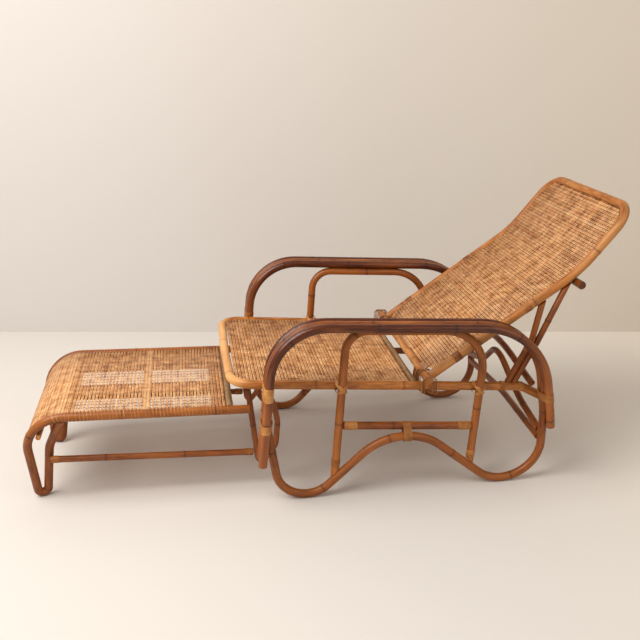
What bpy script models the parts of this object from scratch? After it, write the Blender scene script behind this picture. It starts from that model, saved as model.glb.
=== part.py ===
"""Rattan chaise longue: two bent-cane side frames, a woven seat, a hinged woven
backrest on props and a woven footrest that slides under the seat. Metres, +Z up,
length along X (feet of the sitter towards -X), width along Y."""

import math

import bmesh
import bpy
import numpy as np
from mathutils import Vector

# Clearances between neighbouring pieces
GAP = 0.0003
FOOT_GAP = 0.0009
RAIL_SLACK = 0.003
WRAP_GAP = 0.0007

# Cane diameters
ARM_CANE = 0.026
BASE_CANE = 0.026
HOOP_CANE = 0.025
STRETCHER_CANE = 0.024
SEAT_CANE = 0.027
SEAT_REAR_CANE = 0.021
BACK_CANE = 0.027
PIVOT_CANE = 0.025
BACK_ROD = 0.013
HANDLE_CANE = 0.025
PROP_CANE = 0.019
BRACE_CANE = 0.021
FOOTREST_CANE = 0.026
FOOTREST_STRETCHER_CANE = 0.020
FOOTREST_ROD = 0.015
HAIRPIN_CANE = 0.018

# Side frames: spacing of the three arm canes and the inward lean of the feet
ARM_MIDDLE_Y = 0.341
ARM_PITCH = ARM_CANE + GAP
HOOP_Y = ARM_MIDDLE_Y - ARM_PITCH
RAIL_Y = HOOP_Y - ARM_CANE / 2 - SEAT_CANE / 2 - GAP - RAIL_SLACK
LEAN_HEIGHT = 0.25
LEAN = 0.10

# Arms, seen from the side
ARM_FRONT_X = -0.2952
ARM_FRONT_Z = 0.5698
ARM_REAR_X = 0.4955
ARM_REAR_Z = 0.5231
ARM_FRONT_FOOT = (-0.3359, 0.138)
ARM_REAR_FOOT = (0.5469, 0.200)
ARM_FRONT_RADIUS = 0.161
ARM_REAR_RADIUS = 0.225

# Base loop of the middle arm cane, seen from the side
KNEE_FRONT_Z = 0.275
KNEE_REAR_Z = 0.326
LOOP_FRONT = (-0.2640, -0.0805)
LOOP_APEX = (0.0823, 0.2546)
LOOP_REAR = (0.5481, -0.1294)
LOOP_FRONT_RADIUS = 0.0944
LOOP_APEX_RADIUS = 0.1816
LOOP_REAR_RADIUS = 0.1178
KNEE_RADIUS = 0.25

# Hoop under the arm
HOOP_FRONT_X = -0.0811
HOOP_REAR_X = 0.3434
HOOP_FRONT_FOOT_X = -0.1077
HOOP_REAR_FOOT_X = 0.3181
HOOP_FOOT_Z = 0.16
HOOP_FRONT_RADIUS = 0.065
HOOP_REAR_RADIUS = 0.126
STRETCHER_FRONT_Z = 0.232
STRETCHER_REAR_Z = 0.199

# Seat
SEAT_FRONT_X = -0.414
SEAT_BOW = 0.006
SEAT_FRONT_Z = 0.3745
SEAT_SLOPE = -0.0766
SEAT_CORNER = 0.065
RAIL_BEND_X = 0.475
RAIL_END_X = 0.556
RAIL_END_Z = 0.262
SEAT_REAR_X = 0.137
PANEL_THICK = 0.005
PANEL_RISE = 0.007
RAIL_BEND_RADIUS = 0.06
SEAT_BOW_RADIUS = 2.0

# Backrest
PIVOT_X = 0.171
PIVOT_HALF = 0.314
BACK_Y = 0.275
BACK_BEND = (0.6310, 0.6655)
BACK_ANGLE = math.radians(34.7)
BACK_TOP = (0.7815, 0.8475)
BACK_BEND_RADIUS = 0.40
BACK_CORNER = 0.075
BACK_ROD_LOWER = 0.112
BACK_ROD_UPPER = 0.366
BACK_ROD_DROP = 0.0030
BACK_WIND = 0.026
BIND_ROOM = 0.0019
HANDLE_HALF = 0.312
HANDLE_ALONG = 0.529
PROP_Y = 0.281
PROP_FRONT_ALONG = 0.411
PROP_REAR_ALONG = 0.497
PROP_KNEE = (0.507, 0.452)
PROP_FOOT_X = 0.4415
PROP_KNEE_RADIUS = 0.05
NOTCH_HALF = 0.0245
NOTCH_LONG = 0.0110
NOTCH_THICK = 0.0040

# Rear bracing between the base loops
BRACE_X = 0.530
ARCH_FOOT_Z = 0.168
ARCH_MIDDLE = (0.170, 0.2120)
ARCH_TOP_Z = 0.330
ARCH_RADII = (0.25, 0.10, 0.25)
ARCH_LEAN = 0.173
BOW_FOOT_Z = 0.1445
BOW_TOP_Z = 0.165
BOW_RADIUS = 1.10
UPPER_BAR_X = 0.503
UPPER_BAR_HALF = 0.297
UPPER_BAR_RISE = 0.046
UPPER_BAR_RADIUS = 0.8

# Footrest
FOOTREST_Y = 0.250
FOOTREST_REAR = (-0.362, 0.2757)
FOOTREST_FRONT = (-1.0200, 0.2935)
FOOTREST_FOOT = (-1.0000, -0.0900)
FOOTREST_FOOT_Y = 0.148
FOOTREST_KNEE = (-0.956, 0.178)
FOOTREST_KNEE_Y = 0.203
FOOTREST_JOINT = (-0.9030, 0.2935)
FOOTREST_FRONT_RADIUS = 0.115
FOOTREST_FOOT_RADIUS = 0.0155
FOOTREST_KNEE_RADIUS = 0.09
FOOTREST_REAR_RAIL_X = -0.420
FOOTREST_REAR_RAIL_CANE = 0.022
FOOTREST_ROD_AT = (-0.9760, 0.2300)
FOOTREST_STRETCHER_FRONT_Z = 0.144
FOOTREST_STRETCHER_REAR_Z = 0.120
HAIRPIN_CORNERS = (
    (-0.364, 0.330), (-0.340, 0.105), (-0.334, 0.075), (-0.2830, 0.140), (-0.2760, 0.225), (-0.293, 0.290))
HAIRPIN_RADII = (0.02, 0.0122, 0.05, 0.10)

# Windings
WRAP_THICK = 0.0018
WRAP_RIDGE = 0.0008
WRAP_PITCH = 0.0085
STRAP_WIDE = 0.0040
STRAP_THICK = 0.0011
STRAP_MARGIN = 0.0058
STRAP_TURN = 0.55
STRAP_SIDES = 6
STRAP_STEP = math.radians(31.0)
STRAP_RINGS = 2
STRAP_LONG = 3.0
CRADLE_MARGIN = 0.0178

# Lengths of the windings, and where they sit
HOOP_FOOT_WIND = 0.022
STRETCHER_WIND = 0.042
STRETCHER_TIE_X = 0.105
STRETCHER_TIE_LONG = 0.026
TIE_SLACK = 0.0022
FOOTREST_WIND = 0.026
STRETCHER_ASIDE = 0.006
PROP_WRAP_ALONG = 0.026
PROP_WRAP_LONG = 0.024
LEG_WRAPS = (
    ("front_leg_upper_wrap", 0.370, True, 0.042),
    ("front_leg_lower_wrap", 0.262, True, 0.026),
    ("rear_leg_wrap", 0.300, False, 0.026),
)
LEG_BAND = 0.05
LEG_LOW = 0.10
NOTCH_CLEAR = 0.0270
STRAP_ROOM = 0.0080
PANEL_CORNER_STEPS = 5
BACK_PANEL_START = 0.0132
CRADLE_ROOM = 0.030
CRADLE_CLEAR = 0.0330
FOOTREST_PANEL_LONG = 0.690

# Mesh fineness
SETTLE_ROUNDS = 8
SIDES = 12
THIN_SIDES = 8
ARC_STEP = math.radians(18.0)
ARC_FLAT = 0.0012
TANGENT_STEP = 0.002
REACH_STEP = 0.0001
REACH_RIM = 12
FLAT_CUT = 0.0010

COLOURS = {
    "dark_lacquered_rattan": ((0.165, 0.050, 0.020), 0.30),
    "brown_rattan": ((0.290, 0.095, 0.030), 0.38),
    "honey_rattan": ((0.430, 0.170, 0.052), 0.40),
    "light_rattan": ((0.560, 0.285, 0.110), 0.45),
    "binding_cane": ((0.480, 0.230, 0.085), 0.55),
    "dark_binding_cane": ((0.200, 0.075, 0.030), 0.55),
    "woven_cane": ((0.520, 0.260, 0.100), 0.60),
}

SIDE_NAMES = (("left", -1.0), ("right", 1.0))


def clear_scene():
    for obj in list(bpy.data.objects):
        bpy.data.objects.remove(obj, do_unlink=True)


def material(slot):
    found = bpy.data.materials.get(slot)
    if found:
        return found
    colour, rough = COLOURS[slot]
    made = bpy.data.materials.new(slot)
    made.use_nodes = True
    shader = made.node_tree.nodes["Principled BSDF"]
    shader.inputs["Base Color"].default_value = (*colour, 1.0)
    shader.inputs["Roughness"].default_value = rough
    shader.inputs["Metallic"].default_value = 0.0
    return made


def empty(name, location, parent=None):
    made = bpy.data.objects.new(name, None)
    bpy.context.scene.collection.objects.link(made)
    made.location = location
    if parent:
        made.parent = parent
        made.location = Vector(location) - parent.location
    return made


def add_mesh(name, points, faces, slot, parent, smooth=True):
    """One closed piece under its group, with its faces turned outwards."""
    mesh = bpy.data.meshes.new(name)
    offset = parent.location
    mesh.from_pydata([Vector(p) - offset for p in points], [], faces)
    work = bmesh.new()
    work.from_mesh(mesh)
    bmesh.ops.recalc_face_normals(work, faces=work.faces)
    work.to_mesh(mesh)
    work.free()
    mesh.materials.append(material(slot))
    made = bpy.data.objects.new(name, mesh)
    bpy.context.scene.collection.objects.link(made)
    made.parent = parent
    if smooth:
        mesh.shade_smooth()
        mesh.set_sharp_from_angle(angle=math.radians(40.0))
    return made


def unit(vector):
    return vector / np.linalg.norm(vector)


def rounded(corners, radii, closed=False, step=ARC_STEP):
    """A path of straight runs joined by arcs, as points in space."""
    corners = [np.array(c, float) for c in corners]
    count = len(corners)
    turns = range(count) if closed else range(1, count - 1)
    path = [] if closed else [corners[0]]
    for place, i in enumerate(turns):
        before, here, after = corners[i - 1], corners[i], corners[(i + 1) % count]
        back, on = unit(before - here), unit(after - here)
        inner = math.acos(max(-1.0, min(1.0, float(back @ on))))
        turn = math.pi - inner
        if turn < math.radians(0.2):
            path.append(here)
            continue
        radius = radii[place]
        reach = radius * math.tan(turn / 2)
        start = here + back * reach
        centre = here + unit(back + on) * (radius / math.cos(turn / 2))
        first = unit(start - centre)
        fine = 2 * math.acos(1 - ARC_FLAT / max(radius, 2 * ARC_FLAT))
        steps = max(1, math.ceil(turn / min(step, fine)))
        for k in range(steps + 1):
            angle = turn * k / steps
            path.append(centre + radius * (math.cos(angle) * first - math.sin(angle) * back))
    if not closed:
        path.append(corners[-1])
    return path


def leaned(path, outside, lean=LEAN, height=LEAN_HEIGHT, closed=False):
    """Puts a side view on its plane and lets the part under a height lean inwards."""
    made = []
    for a, b in zip(path, path[1:] + path[:1]):
        made.append(a)
        if (a[2] - height) * (b[2] - height) < 0:
            made.append(a + (b - a) * ((height - a[2]) / (b[2] - a[2])))
    if np.linalg.norm(made[-1] - path[-1]) > 0 and not closed:
        made.pop()
    return [np.array((x, outside - lean * max(0.0, height - z), z)) for x, _, z in made]


def side_path(points):
    return [(x, 0.0, z) for x, z in points]


def lengths(path, closed=False):
    ends = path[1:] + path[:1] if closed else path[1:]
    steps = [np.linalg.norm(b - a) for a, b in zip(path, ends)]
    return np.concatenate([[0.0], np.cumsum(steps)])


def at_length(path, along, where):
    i = min(max(int(np.searchsorted(along, where)) - 1, 0), len(path) - 2)
    part = (where - along[i]) / (along[i + 1] - along[i])
    return path[i] + (path[i + 1] - path[i]) * part


def with_wraps(path, radius, wraps):
    """Rings of a cane as points and radii; each wrap (start, end, thickness) is a ridged winding."""
    path = [np.array(p, float) for p in path]
    along = lengths(path)
    total = along[-1]
    rings = [(s, radius) for s in along]
    for start, end, thick in wraps:
        start, end = max(start, 0.0), min(end, total)
        rings = [(s, r) for s, r in rings if s < start - GAP or s > end + GAP]
        turns = max(2, round((end - start) / WRAP_PITCH))
        lip = WRAP_RIDGE / 2
        if start > 0:
            rings.append((start, radius))
        rings.append((start + (lip if start > 0 else 0.0), radius + thick - WRAP_RIDGE))
        for k in range(turns):
            low, high = start + lip, end - lip
            crest = low + (high - low) * (k + 0.5) / turns
            rings.append((crest, radius + thick))
            if k < turns - 1:
                rings.append((low + (high - low) * (k + 1) / turns, radius + thick - WRAP_RIDGE))
        rings.append((end - (lip if end < total else 0.0), radius + thick - WRAP_RIDGE))
        if end < total:
            rings.append((end, radius))
    rings.sort(key=lambda ring: ring[0])
    return [at_length(path, along, s) for s, _ in rings], [r for _, r in rings]


def frames(path, closed, start_across=None):
    """Two directions square to the path at each point, turning as little as they can."""
    count = len(path)
    tangents = []
    for i in range(count):
        before = path[i - 1] if closed or i > 0 else path[i]
        after = path[(i + 1) % count] if closed or i < count - 1 else path[i]
        tangents.append(unit(after - before))
    across = start_across
    if across is None:
        across = np.array((0.0, 1.0, 0.0))
        if abs(tangents[0] @ across) > 0.7:
            across = np.array((0.0, 0.0, 1.0))
    made = []
    for tangent in tangents:
        across = unit(across - tangent * (across @ tangent))
        made.append((across, np.cross(tangent, across)))
    return made


def tube(name, path, radius, slot, parent, sides=SIDES, closed=False, wraps=(), cuts=(None, None)):
    """A round cane along a path; each end may be cut slanting on a plane (point, normal)."""
    path = [np.array(p, float) for p in path]
    radii = [radius] * len(path)
    if wraps:
        path, radii = with_wraps(path, radius, wraps)
    points = []
    for (across, up), centre, r in zip(frames(path, closed), path, radii):
        for k in range(sides):
            angle = 2 * math.pi * (k + 0.5) / sides
            corner = r / math.cos(math.pi / sides)
            points.append(centre + corner * (math.cos(angle) * across + math.sin(angle) * up))
    rings = len(path)
    for cut, ring, near in ((cuts[0], 0, 1), (cuts[1], rings - 1, rings - 2)):
        if cut:
            axis = unit(path[ring] - path[near])
            for k in range(ring * sides, (ring + 1) * sides):
                points[k] = points[k] + axis * (((cut[0] - points[k]) @ cut[1]) / (axis @ cut[1]))
    faces = []
    for i in range(rings if closed else rings - 1):
        j = (i + 1) % rings
        for k in range(sides):
            m = (k + 1) % sides
            faces.append((i * sides + k, i * sides + m, j * sides + m, j * sides + k))
    if not closed:
        faces.append(tuple(reversed(range(sides))))
        faces.append(tuple((rings - 1) * sides + k for k in range(sides)))
    return add_mesh(name, points, faces, slot, parent)


def sleeve(name, centre, axis, canes, length, slot, parent, gap=WRAP_GAP, thick=WRAP_THICK, around=14):
    """A ridged winding round parallel canes: canes are (offset, radius) pairs square to the axis."""
    centre, axis = np.array(centre, float), unit(np.array(axis, float))
    across = np.array((0.0, 1.0, 0.0))
    across = unit(across - axis * (across @ axis))
    up = np.cross(axis, across)
    flat = [(float(np.array(o) @ across), float(np.array(o) @ up), r) for o, r in canes]
    turns = max(2, round(length / WRAP_PITCH))
    profile = [(-length / 2, gap), (-length / 2, gap + thick - WRAP_RIDGE)]
    for k in range(turns):
        profile.append((-length / 2 + length * (k + 0.5) / turns, gap + thick))
        if k < turns - 1:
            profile.append((-length / 2 + length * (k + 1) / turns, gap + thick - WRAP_RIDGE))
    profile += [(length / 2, gap + thick - WRAP_RIDGE), (length / 2, gap)]
    points = []
    for t, off in profile:
        lines = []
        for k in range(around):
            angle = 2 * math.pi * (k + 0.5) / around
            c, s = math.cos(angle), math.sin(angle)
            lines.append((c, s, max(x * c + y * s + r for x, y, r in flat) + off))
        for k in range(around):
            (c1, s1, h1), (c2, s2, h2) = lines[k - 1], lines[k]
            spread = c1 * s2 - c2 * s1
            x, y = (h1 * s2 - h2 * s1) / spread, (h2 * c1 - h1 * c2) / spread
            points.append(centre + axis * t + across * x + up * y)
    rings = len(profile)
    faces = []
    for i in range(rings):
        j = (i + 1) % rings
        for k in range(around):
            m = (k + 1) % around
            faces.append((i * around + k, i * around + m, j * around + m, j * around + k))
    return add_mesh(name, points, faces, slot, parent)


def cross_lash(
        name, under, over, along_under, along_over, under_radius, over_radius, slot, parent,
        margin=STRAP_MARGIN):
    """A flat strap tied as an X over two canes that cross: 'over' lies on the outer side of 'under'."""
    under, over = np.array(under, float), np.array(over, float)
    a, b = unit(np.array(along_under, float)), unit(np.array(along_over, float))
    n = unit(over - under)
    height = float(np.linalg.norm(over - under))
    skew = float(np.linalg.norm(np.cross(a, b)))
    reach_a = (over_radius + margin) / skew
    reach_b = (under_radius + STRAP_MARGIN) / skew
    front = height + over_radius + GAP + STRAP_THICK
    back = -(under_radius + GAP + STRAP_THICK)
    lift = 2 * STRAP_THICK + FOOT_GAP

    def spot(i, j, h):
        return under + a * (i * reach_a) + b * (j * reach_b) + n * h

    corners = [
        spot(1, 1, front), spot(1, 1, back), spot(1, -1, back), spot(1, -1, front + lift),
        spot(-1, 1, front + lift), spot(-1, 1, back), spot(-1, -1, back), spot(-1, -1, front),
    ]
    radii = [min(reach_a, reach_b) * STRAP_TURN] * len(corners)
    path = rounded(corners, radii, closed=True, step=STRAP_STEP)
    sides = STRAP_SIDES
    count = len(path)
    outs = []
    for i, p in enumerate(path):
        tangent = unit(path[(i + 1) % count] - path[i - 1])
        out = -unit(path[(i + 1) % count] - p) - unit(path[i - 1] - p)
        outs.append(unit(out - tangent * (out @ tangent)))
    stations = []
    for i, p in enumerate(path):
        j = (i + 1) % count
        run = path[j] - p
        steps = STRAP_RINGS if float(np.linalg.norm(run)) > STRAP_LONG * STRAP_WIDE else 1
        for k in range(steps):
            part = k / steps
            stations.append((p + run * part, unit(outs[i] * (1 - part) + outs[j] * part)))
    points = []
    count = len(stations)
    for i, (p, out) in enumerate(stations):
        tangent = unit(stations[(i + 1) % count][0] - stations[i - 1][0])
        wide = np.cross(tangent, unit(out - tangent * (out @ tangent)))
        for k in range(sides):
            angle = 2 * math.pi * k / sides
            points.append(p + wide * (STRAP_WIDE * math.cos(angle)) + out * (STRAP_THICK * math.sin(angle)))
    faces = []
    for i in range(count):
        j = (i + 1) % count
        for k in range(sides):
            m = (k + 1) % sides
            faces.append((i * sides + k, i * sides + m, j * sides + m, j * sides + k))
    return add_mesh(name, points, faces, slot, parent)


def panel(name, line, widths, slot, parent):
    """A woven panel: a sheet along a side view, with half widths at given distances along it."""
    line = [np.array(p, float) for p in line]
    along = lengths(line)
    wanted = sorted(list(along) + [s for s, _ in widths if 0.0 < s < along[-1]])
    kept = []
    for s in wanted:
        if not kept or s - kept[-1] > GAP / 2:
            kept.append(s)
    points = []
    for s in kept:
        before = at_length(line, along, max(0.0, s - TANGENT_STEP))
        after = at_length(line, along, min(along[-1], s + TANGENT_STEP))
        tangent = unit(after - before)
        normal = np.array((-tangent[2], 0.0, tangent[0]))
        wide = float(np.interp(s, [w[0] for w in widths], [w[1] for w in widths]))
        for y, t in ((-wide, -1), (wide, -1), (wide, 1), (-wide, 1)):
            across = np.array((0.0, y, 0.0))
            points.append(at_length(line, along, s) + normal * (t * PANEL_THICK / 2) + across)
    faces = [(0, 1, 2, 3), tuple(len(points) - 4 + k for k in (3, 2, 1, 0))]
    for i in range(len(kept) - 1):
        for k in range(4):
            m = (k + 1) % 4
            faces.append((i * 4 + k, i * 4 + m, i * 4 + 4 + m, i * 4 + 4 + k))
    return add_mesh(name, points, faces, slot, parent, smooth=False)


def flatten_foot(obj, height):
    """Cuts the bottom of a foot level, so that it stands on a flat face."""
    floor = -obj.parent.location.z + height
    work = bmesh.new()
    work.from_mesh(obj.data)
    cut = bmesh.ops.bisect_plane(
        work, geom=work.verts[:] + work.edges[:] + work.faces[:],
        plane_co=(0.0, 0.0, floor), plane_no=(0.0, 0.0, -1.0), clear_outer=True)
    rim = [e for e in cut["geom_cut"] if isinstance(e, bmesh.types.BMEdge)]
    bmesh.ops.edgeloop_fill(work, edges=rim)
    bmesh.ops.recalc_face_normals(work, faces=work.faces)
    work.to_mesh(obj.data)
    work.free()
    obj.data.set_sharp_from_angle(angle=math.radians(40.0))


def distance_to(points, path):
    """Least distance from each point to a path of straight runs."""
    points = np.array(points)
    best = np.full(len(points), np.inf)
    for a, b in zip(path[:-1], path[1:]):
        run = b - a
        part = np.clip(((points - a) @ run) / (run @ run), 0.0, 1.0)
        best = np.minimum(best, np.linalg.norm(points - (a + part[:, None] * run), axis=1))
    return best


def crossing(point, direction, path):
    """Where a line seen from the side meets a path on its way down, and the path's direction there."""
    best = None
    for a, b in zip(path[:-1], path[1:]):
        run = b - a
        spread = direction[0] * run[2] - direction[2] * run[0]
        if abs(spread) < 1e-9:
            continue
        offset = a - point
        ahead = (offset[0] * run[2] - offset[2] * run[0]) / spread
        part = (offset[0] * direction[2] - offset[2] * direction[0]) / spread
        if ahead > 0 and 0 <= part <= 1 and (best is None or ahead < best[0]):
            best = (ahead, a + run * part, unit(run))
    return best[1], best[2]


def reach(start, toward, radius, others):
    """Where a cane's end stops just short of other canes, given as (path, radius) pairs."""
    start, toward = np.array(start, float), np.array(toward, float)
    run = toward - start
    total = float(np.linalg.norm(run))
    axis = run / total
    across = unit(np.cross(axis, np.array((0.3, 0.5, 0.8))))
    up = np.cross(axis, across)
    turns = [2 * math.pi * k / REACH_RIM for k in range(REACH_RIM)]
    rim = [np.zeros(3)] + [radius * (math.cos(t) * across + math.sin(t) * up) for t in turns]
    far = 0.0
    while far + REACH_STEP < total:
        there = [start + axis * (far + REACH_STEP) + r for r in rim]
        if any(distance_to(there, path).min() < other + GAP for path, other in others):
            break
        far += REACH_STEP
    return start + axis * far


def part_of(path, start, end):
    """The stretch of a path between two distances along it."""
    path = [np.array(p, float) for p in path]
    along = lengths(path)
    inside = [p for p, s in zip(path, along) if start + GAP < s < end - GAP]
    return [at_length(path, along, start)] + inside + [at_length(path, along, end)]


def raised(path, height):
    """A side view moved by a height along its own normal."""
    moved = []
    for i, p in enumerate(path):
        tangent = unit(path[min(i + 1, len(path) - 1)] - path[max(i - 1, 0)])
        moved.append(p + np.array((-tangent[2], 0.0, tangent[0])) * height)
    return moved


def under(path, along, drop):
    """A point below a side view: at a distance along it, moved down along its normal."""
    table = lengths(path)
    here = at_length(path, table, along)
    tangent = unit(at_length(path, table, along + TANGENT_STEP) - at_length(path, table, along - TANGENT_STEP))
    return here - np.array((-tangent[2], 0.0, tangent[0])) * drop


def height_on(path, x):
    """Height of a side view that runs forwards or backwards at a place along X."""
    for a, b in zip(path[:-1], path[1:]):
        if min(a[0], b[0]) <= x <= max(a[0], b[0]):
            return float(a[2] + (b[2] - a[2]) * (x - a[0]) / (b[0] - a[0]))
    return float(path[-1][2])


def across_bar(x, ends_z, corners, radii, half):
    """A symmetric cross bar seen from behind, as a path from the left to the right."""
    left = [(x, -half, ends_z)] + [(x, -y, z) for y, z in corners if y > 0]
    right = [(x, y, z) for y, z in reversed(corners) if y > 0] + [(x, half, ends_z)]
    middle = [(x, 0.0, z) for y, z in corners if y == 0]
    return rounded(left + middle + right, radii)


def trimmed_bar(path, radius, others):
    """Cuts both ends of a cross bar short of the canes that it butts on."""
    first = reach(path[1], path[0], radius, others)
    last = reach(path[-2], path[-1], radius, others)
    return [first] + path[1:-1] + [last]


def mirrored(path, side):
    return [np.array((p[0], p[1] * side, p[2])) for p in path]


def rail_z(x):
    return SEAT_FRONT_Z + SEAT_SLOPE * (x - SEAT_FRONT_X)


def arm_x(z, front=True):
    """Side view of the arm canes' straight legs."""
    if front:
        top, foot = (ARM_FRONT_X, ARM_FRONT_Z), ARM_FRONT_FOOT
    else:
        top, foot = (ARM_REAR_X, ARM_REAR_Z), ARM_REAR_FOOT
    return top[0] + (foot[0] - top[0]) * (z - top[1]) / (foot[1] - top[1])


def arm_z(x):
    slope = (ARM_REAR_Z - ARM_FRONT_Z) / (ARM_REAR_X - ARM_FRONT_X)
    return ARM_FRONT_Z + slope * (x - ARM_FRONT_X)


def lean_y(outside, z):
    return outside - LEAN * max(0.0, LEAN_HEIGHT - z)


clear_scene()
frame_group = empty("side_frames_and_seat", (0.0, 0.0, 0.0))
pivot_z = rail_z(PIVOT_X) + SEAT_CANE / 2 + PIVOT_CANE / 2 + GAP
back_group = empty("backrest_on_pivot", (PIVOT_X, 0.0, pivot_z))
footrest_group = empty("footrest_on_slide", (FOOTREST_REAR_RAIL_X, 0.0, FOOTREST_REAR[1]))

# Side frames
hoop_drop = (ARM_CANE + HOOP_CANE) / 2 + GAP
hoop_corners = [
    (HOOP_FRONT_FOOT_X, HOOP_FOOT_Z),
    (HOOP_FRONT_X, arm_z(HOOP_FRONT_X) - hoop_drop),
    (HOOP_REAR_X, arm_z(HOOP_REAR_X) - hoop_drop),
    (HOOP_REAR_FOOT_X, HOOP_FOOT_Z),
]


def hoop_x(z, front):
    foot, top = (hoop_corners[0], hoop_corners[1]) if front else (hoop_corners[3], hoop_corners[2])
    return foot[0] + (top[0] - foot[0]) * (z - foot[1]) / (top[1] - foot[1])


def loop_path(front_z, rear_z):
    corners = [
        (ARM_FRONT_X, ARM_FRONT_Z), (ARM_REAR_X, ARM_REAR_Z), (arm_x(KNEE_REAR_Z, False), KNEE_REAR_Z),
        (LOOP_REAR[0], rear_z), LOOP_APEX, (LOOP_FRONT[0], front_z), (arm_x(KNEE_FRONT_Z), KNEE_FRONT_Z),
    ]
    radii = (
        ARM_FRONT_RADIUS, ARM_REAR_RADIUS, KNEE_RADIUS,
        LOOP_REAR_RADIUS, LOOP_APEX_RADIUS, LOOP_FRONT_RADIUS, KNEE_RADIUS,
    )
    return rounded(side_path(corners), radii, closed=True)


def settled_loop():
    """The base loop with both of its bends brought down to the floor."""
    front_z, rear_z = LOOP_FRONT[1], LOOP_REAR[1]
    rest = BASE_CANE / 2 - FLAT_CUT
    for _ in range(SETTLE_ROUNDS):
        path = loop_path(front_z, rear_z)
        front_z -= min(p[2] for p in path if p[0] < LOOP_APEX[0]) - rest
        rear_z -= min(p[2] for p in path if p[0] > LOOP_APEX[0]) - rest
    return loop_path(front_z, rear_z)


def loop_at(loop, z, front):
    """Where a leg of the base loop stands at a height, seen from the side."""
    legs = [p for p in loop if (p[0] < ARM_FRONT_X + LEG_BAND if front else p[0] > ARM_REAR_X - LEG_BAND)]
    legs = sorted((p for p in legs if p[2] > LEG_LOW), key=lambda p: p[2])
    return float(np.interp(z, [p[2] for p in legs], [p[0] for p in legs]))


arm_corners = [ARM_FRONT_FOOT, (ARM_FRONT_X, ARM_FRONT_Z), (ARM_REAR_X, ARM_REAR_Z), ARM_REAR_FOOT]
arm_view = rounded(side_path(arm_corners), (ARM_FRONT_RADIUS, ARM_REAR_RADIUS))
loop_view = settled_loop()
hoop_view = rounded(side_path(hoop_corners), (HOOP_FRONT_RADIUS, HOOP_REAR_RADIUS))

# Seat frame: one cane bent round the front, with plain ends behind the pivot
seat_path = rounded(
    [
        (RAIL_END_X, -RAIL_Y, RAIL_END_Z),
        (RAIL_BEND_X, -RAIL_Y, rail_z(RAIL_BEND_X)),
        (SEAT_FRONT_X, -RAIL_Y, SEAT_FRONT_Z),
        (SEAT_FRONT_X - SEAT_BOW, 0.0, SEAT_FRONT_Z),
        (SEAT_FRONT_X, RAIL_Y, SEAT_FRONT_Z),
        (RAIL_BEND_X, RAIL_Y, rail_z(RAIL_BEND_X)),
        (RAIL_END_X, RAIL_Y, RAIL_END_Z),
    ],
    (RAIL_BEND_RADIUS, SEAT_CORNER, SEAT_BOW_RADIUS, SEAT_CORNER, RAIL_BEND_RADIUS))
right_rail = [p for p in seat_path if p[1] > RAIL_Y - GAP]
seat_length = float(lengths(seat_path)[-1])
rail_end = float(lengths(right_rail)[-1])
rail_slope = math.hypot(1.0, SEAT_SLOPE)
foot_from_end = rail_end - (PROP_FOOT_X - right_rail[0][0]) * rail_slope
notches = []
for near in (foot_from_end - NOTCH_HALF - NOTCH_LONG, foot_from_end + NOTCH_HALF):
    notches.append((near, near + NOTCH_LONG, NOTCH_THICK))
    notches.append((seat_length - near - NOTCH_LONG, seat_length - near, NOTCH_THICK))
tube("seat_frame", seat_path, SEAT_CANE / 2, "honey_rattan", frame_group, wraps=sorted(notches))

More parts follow.
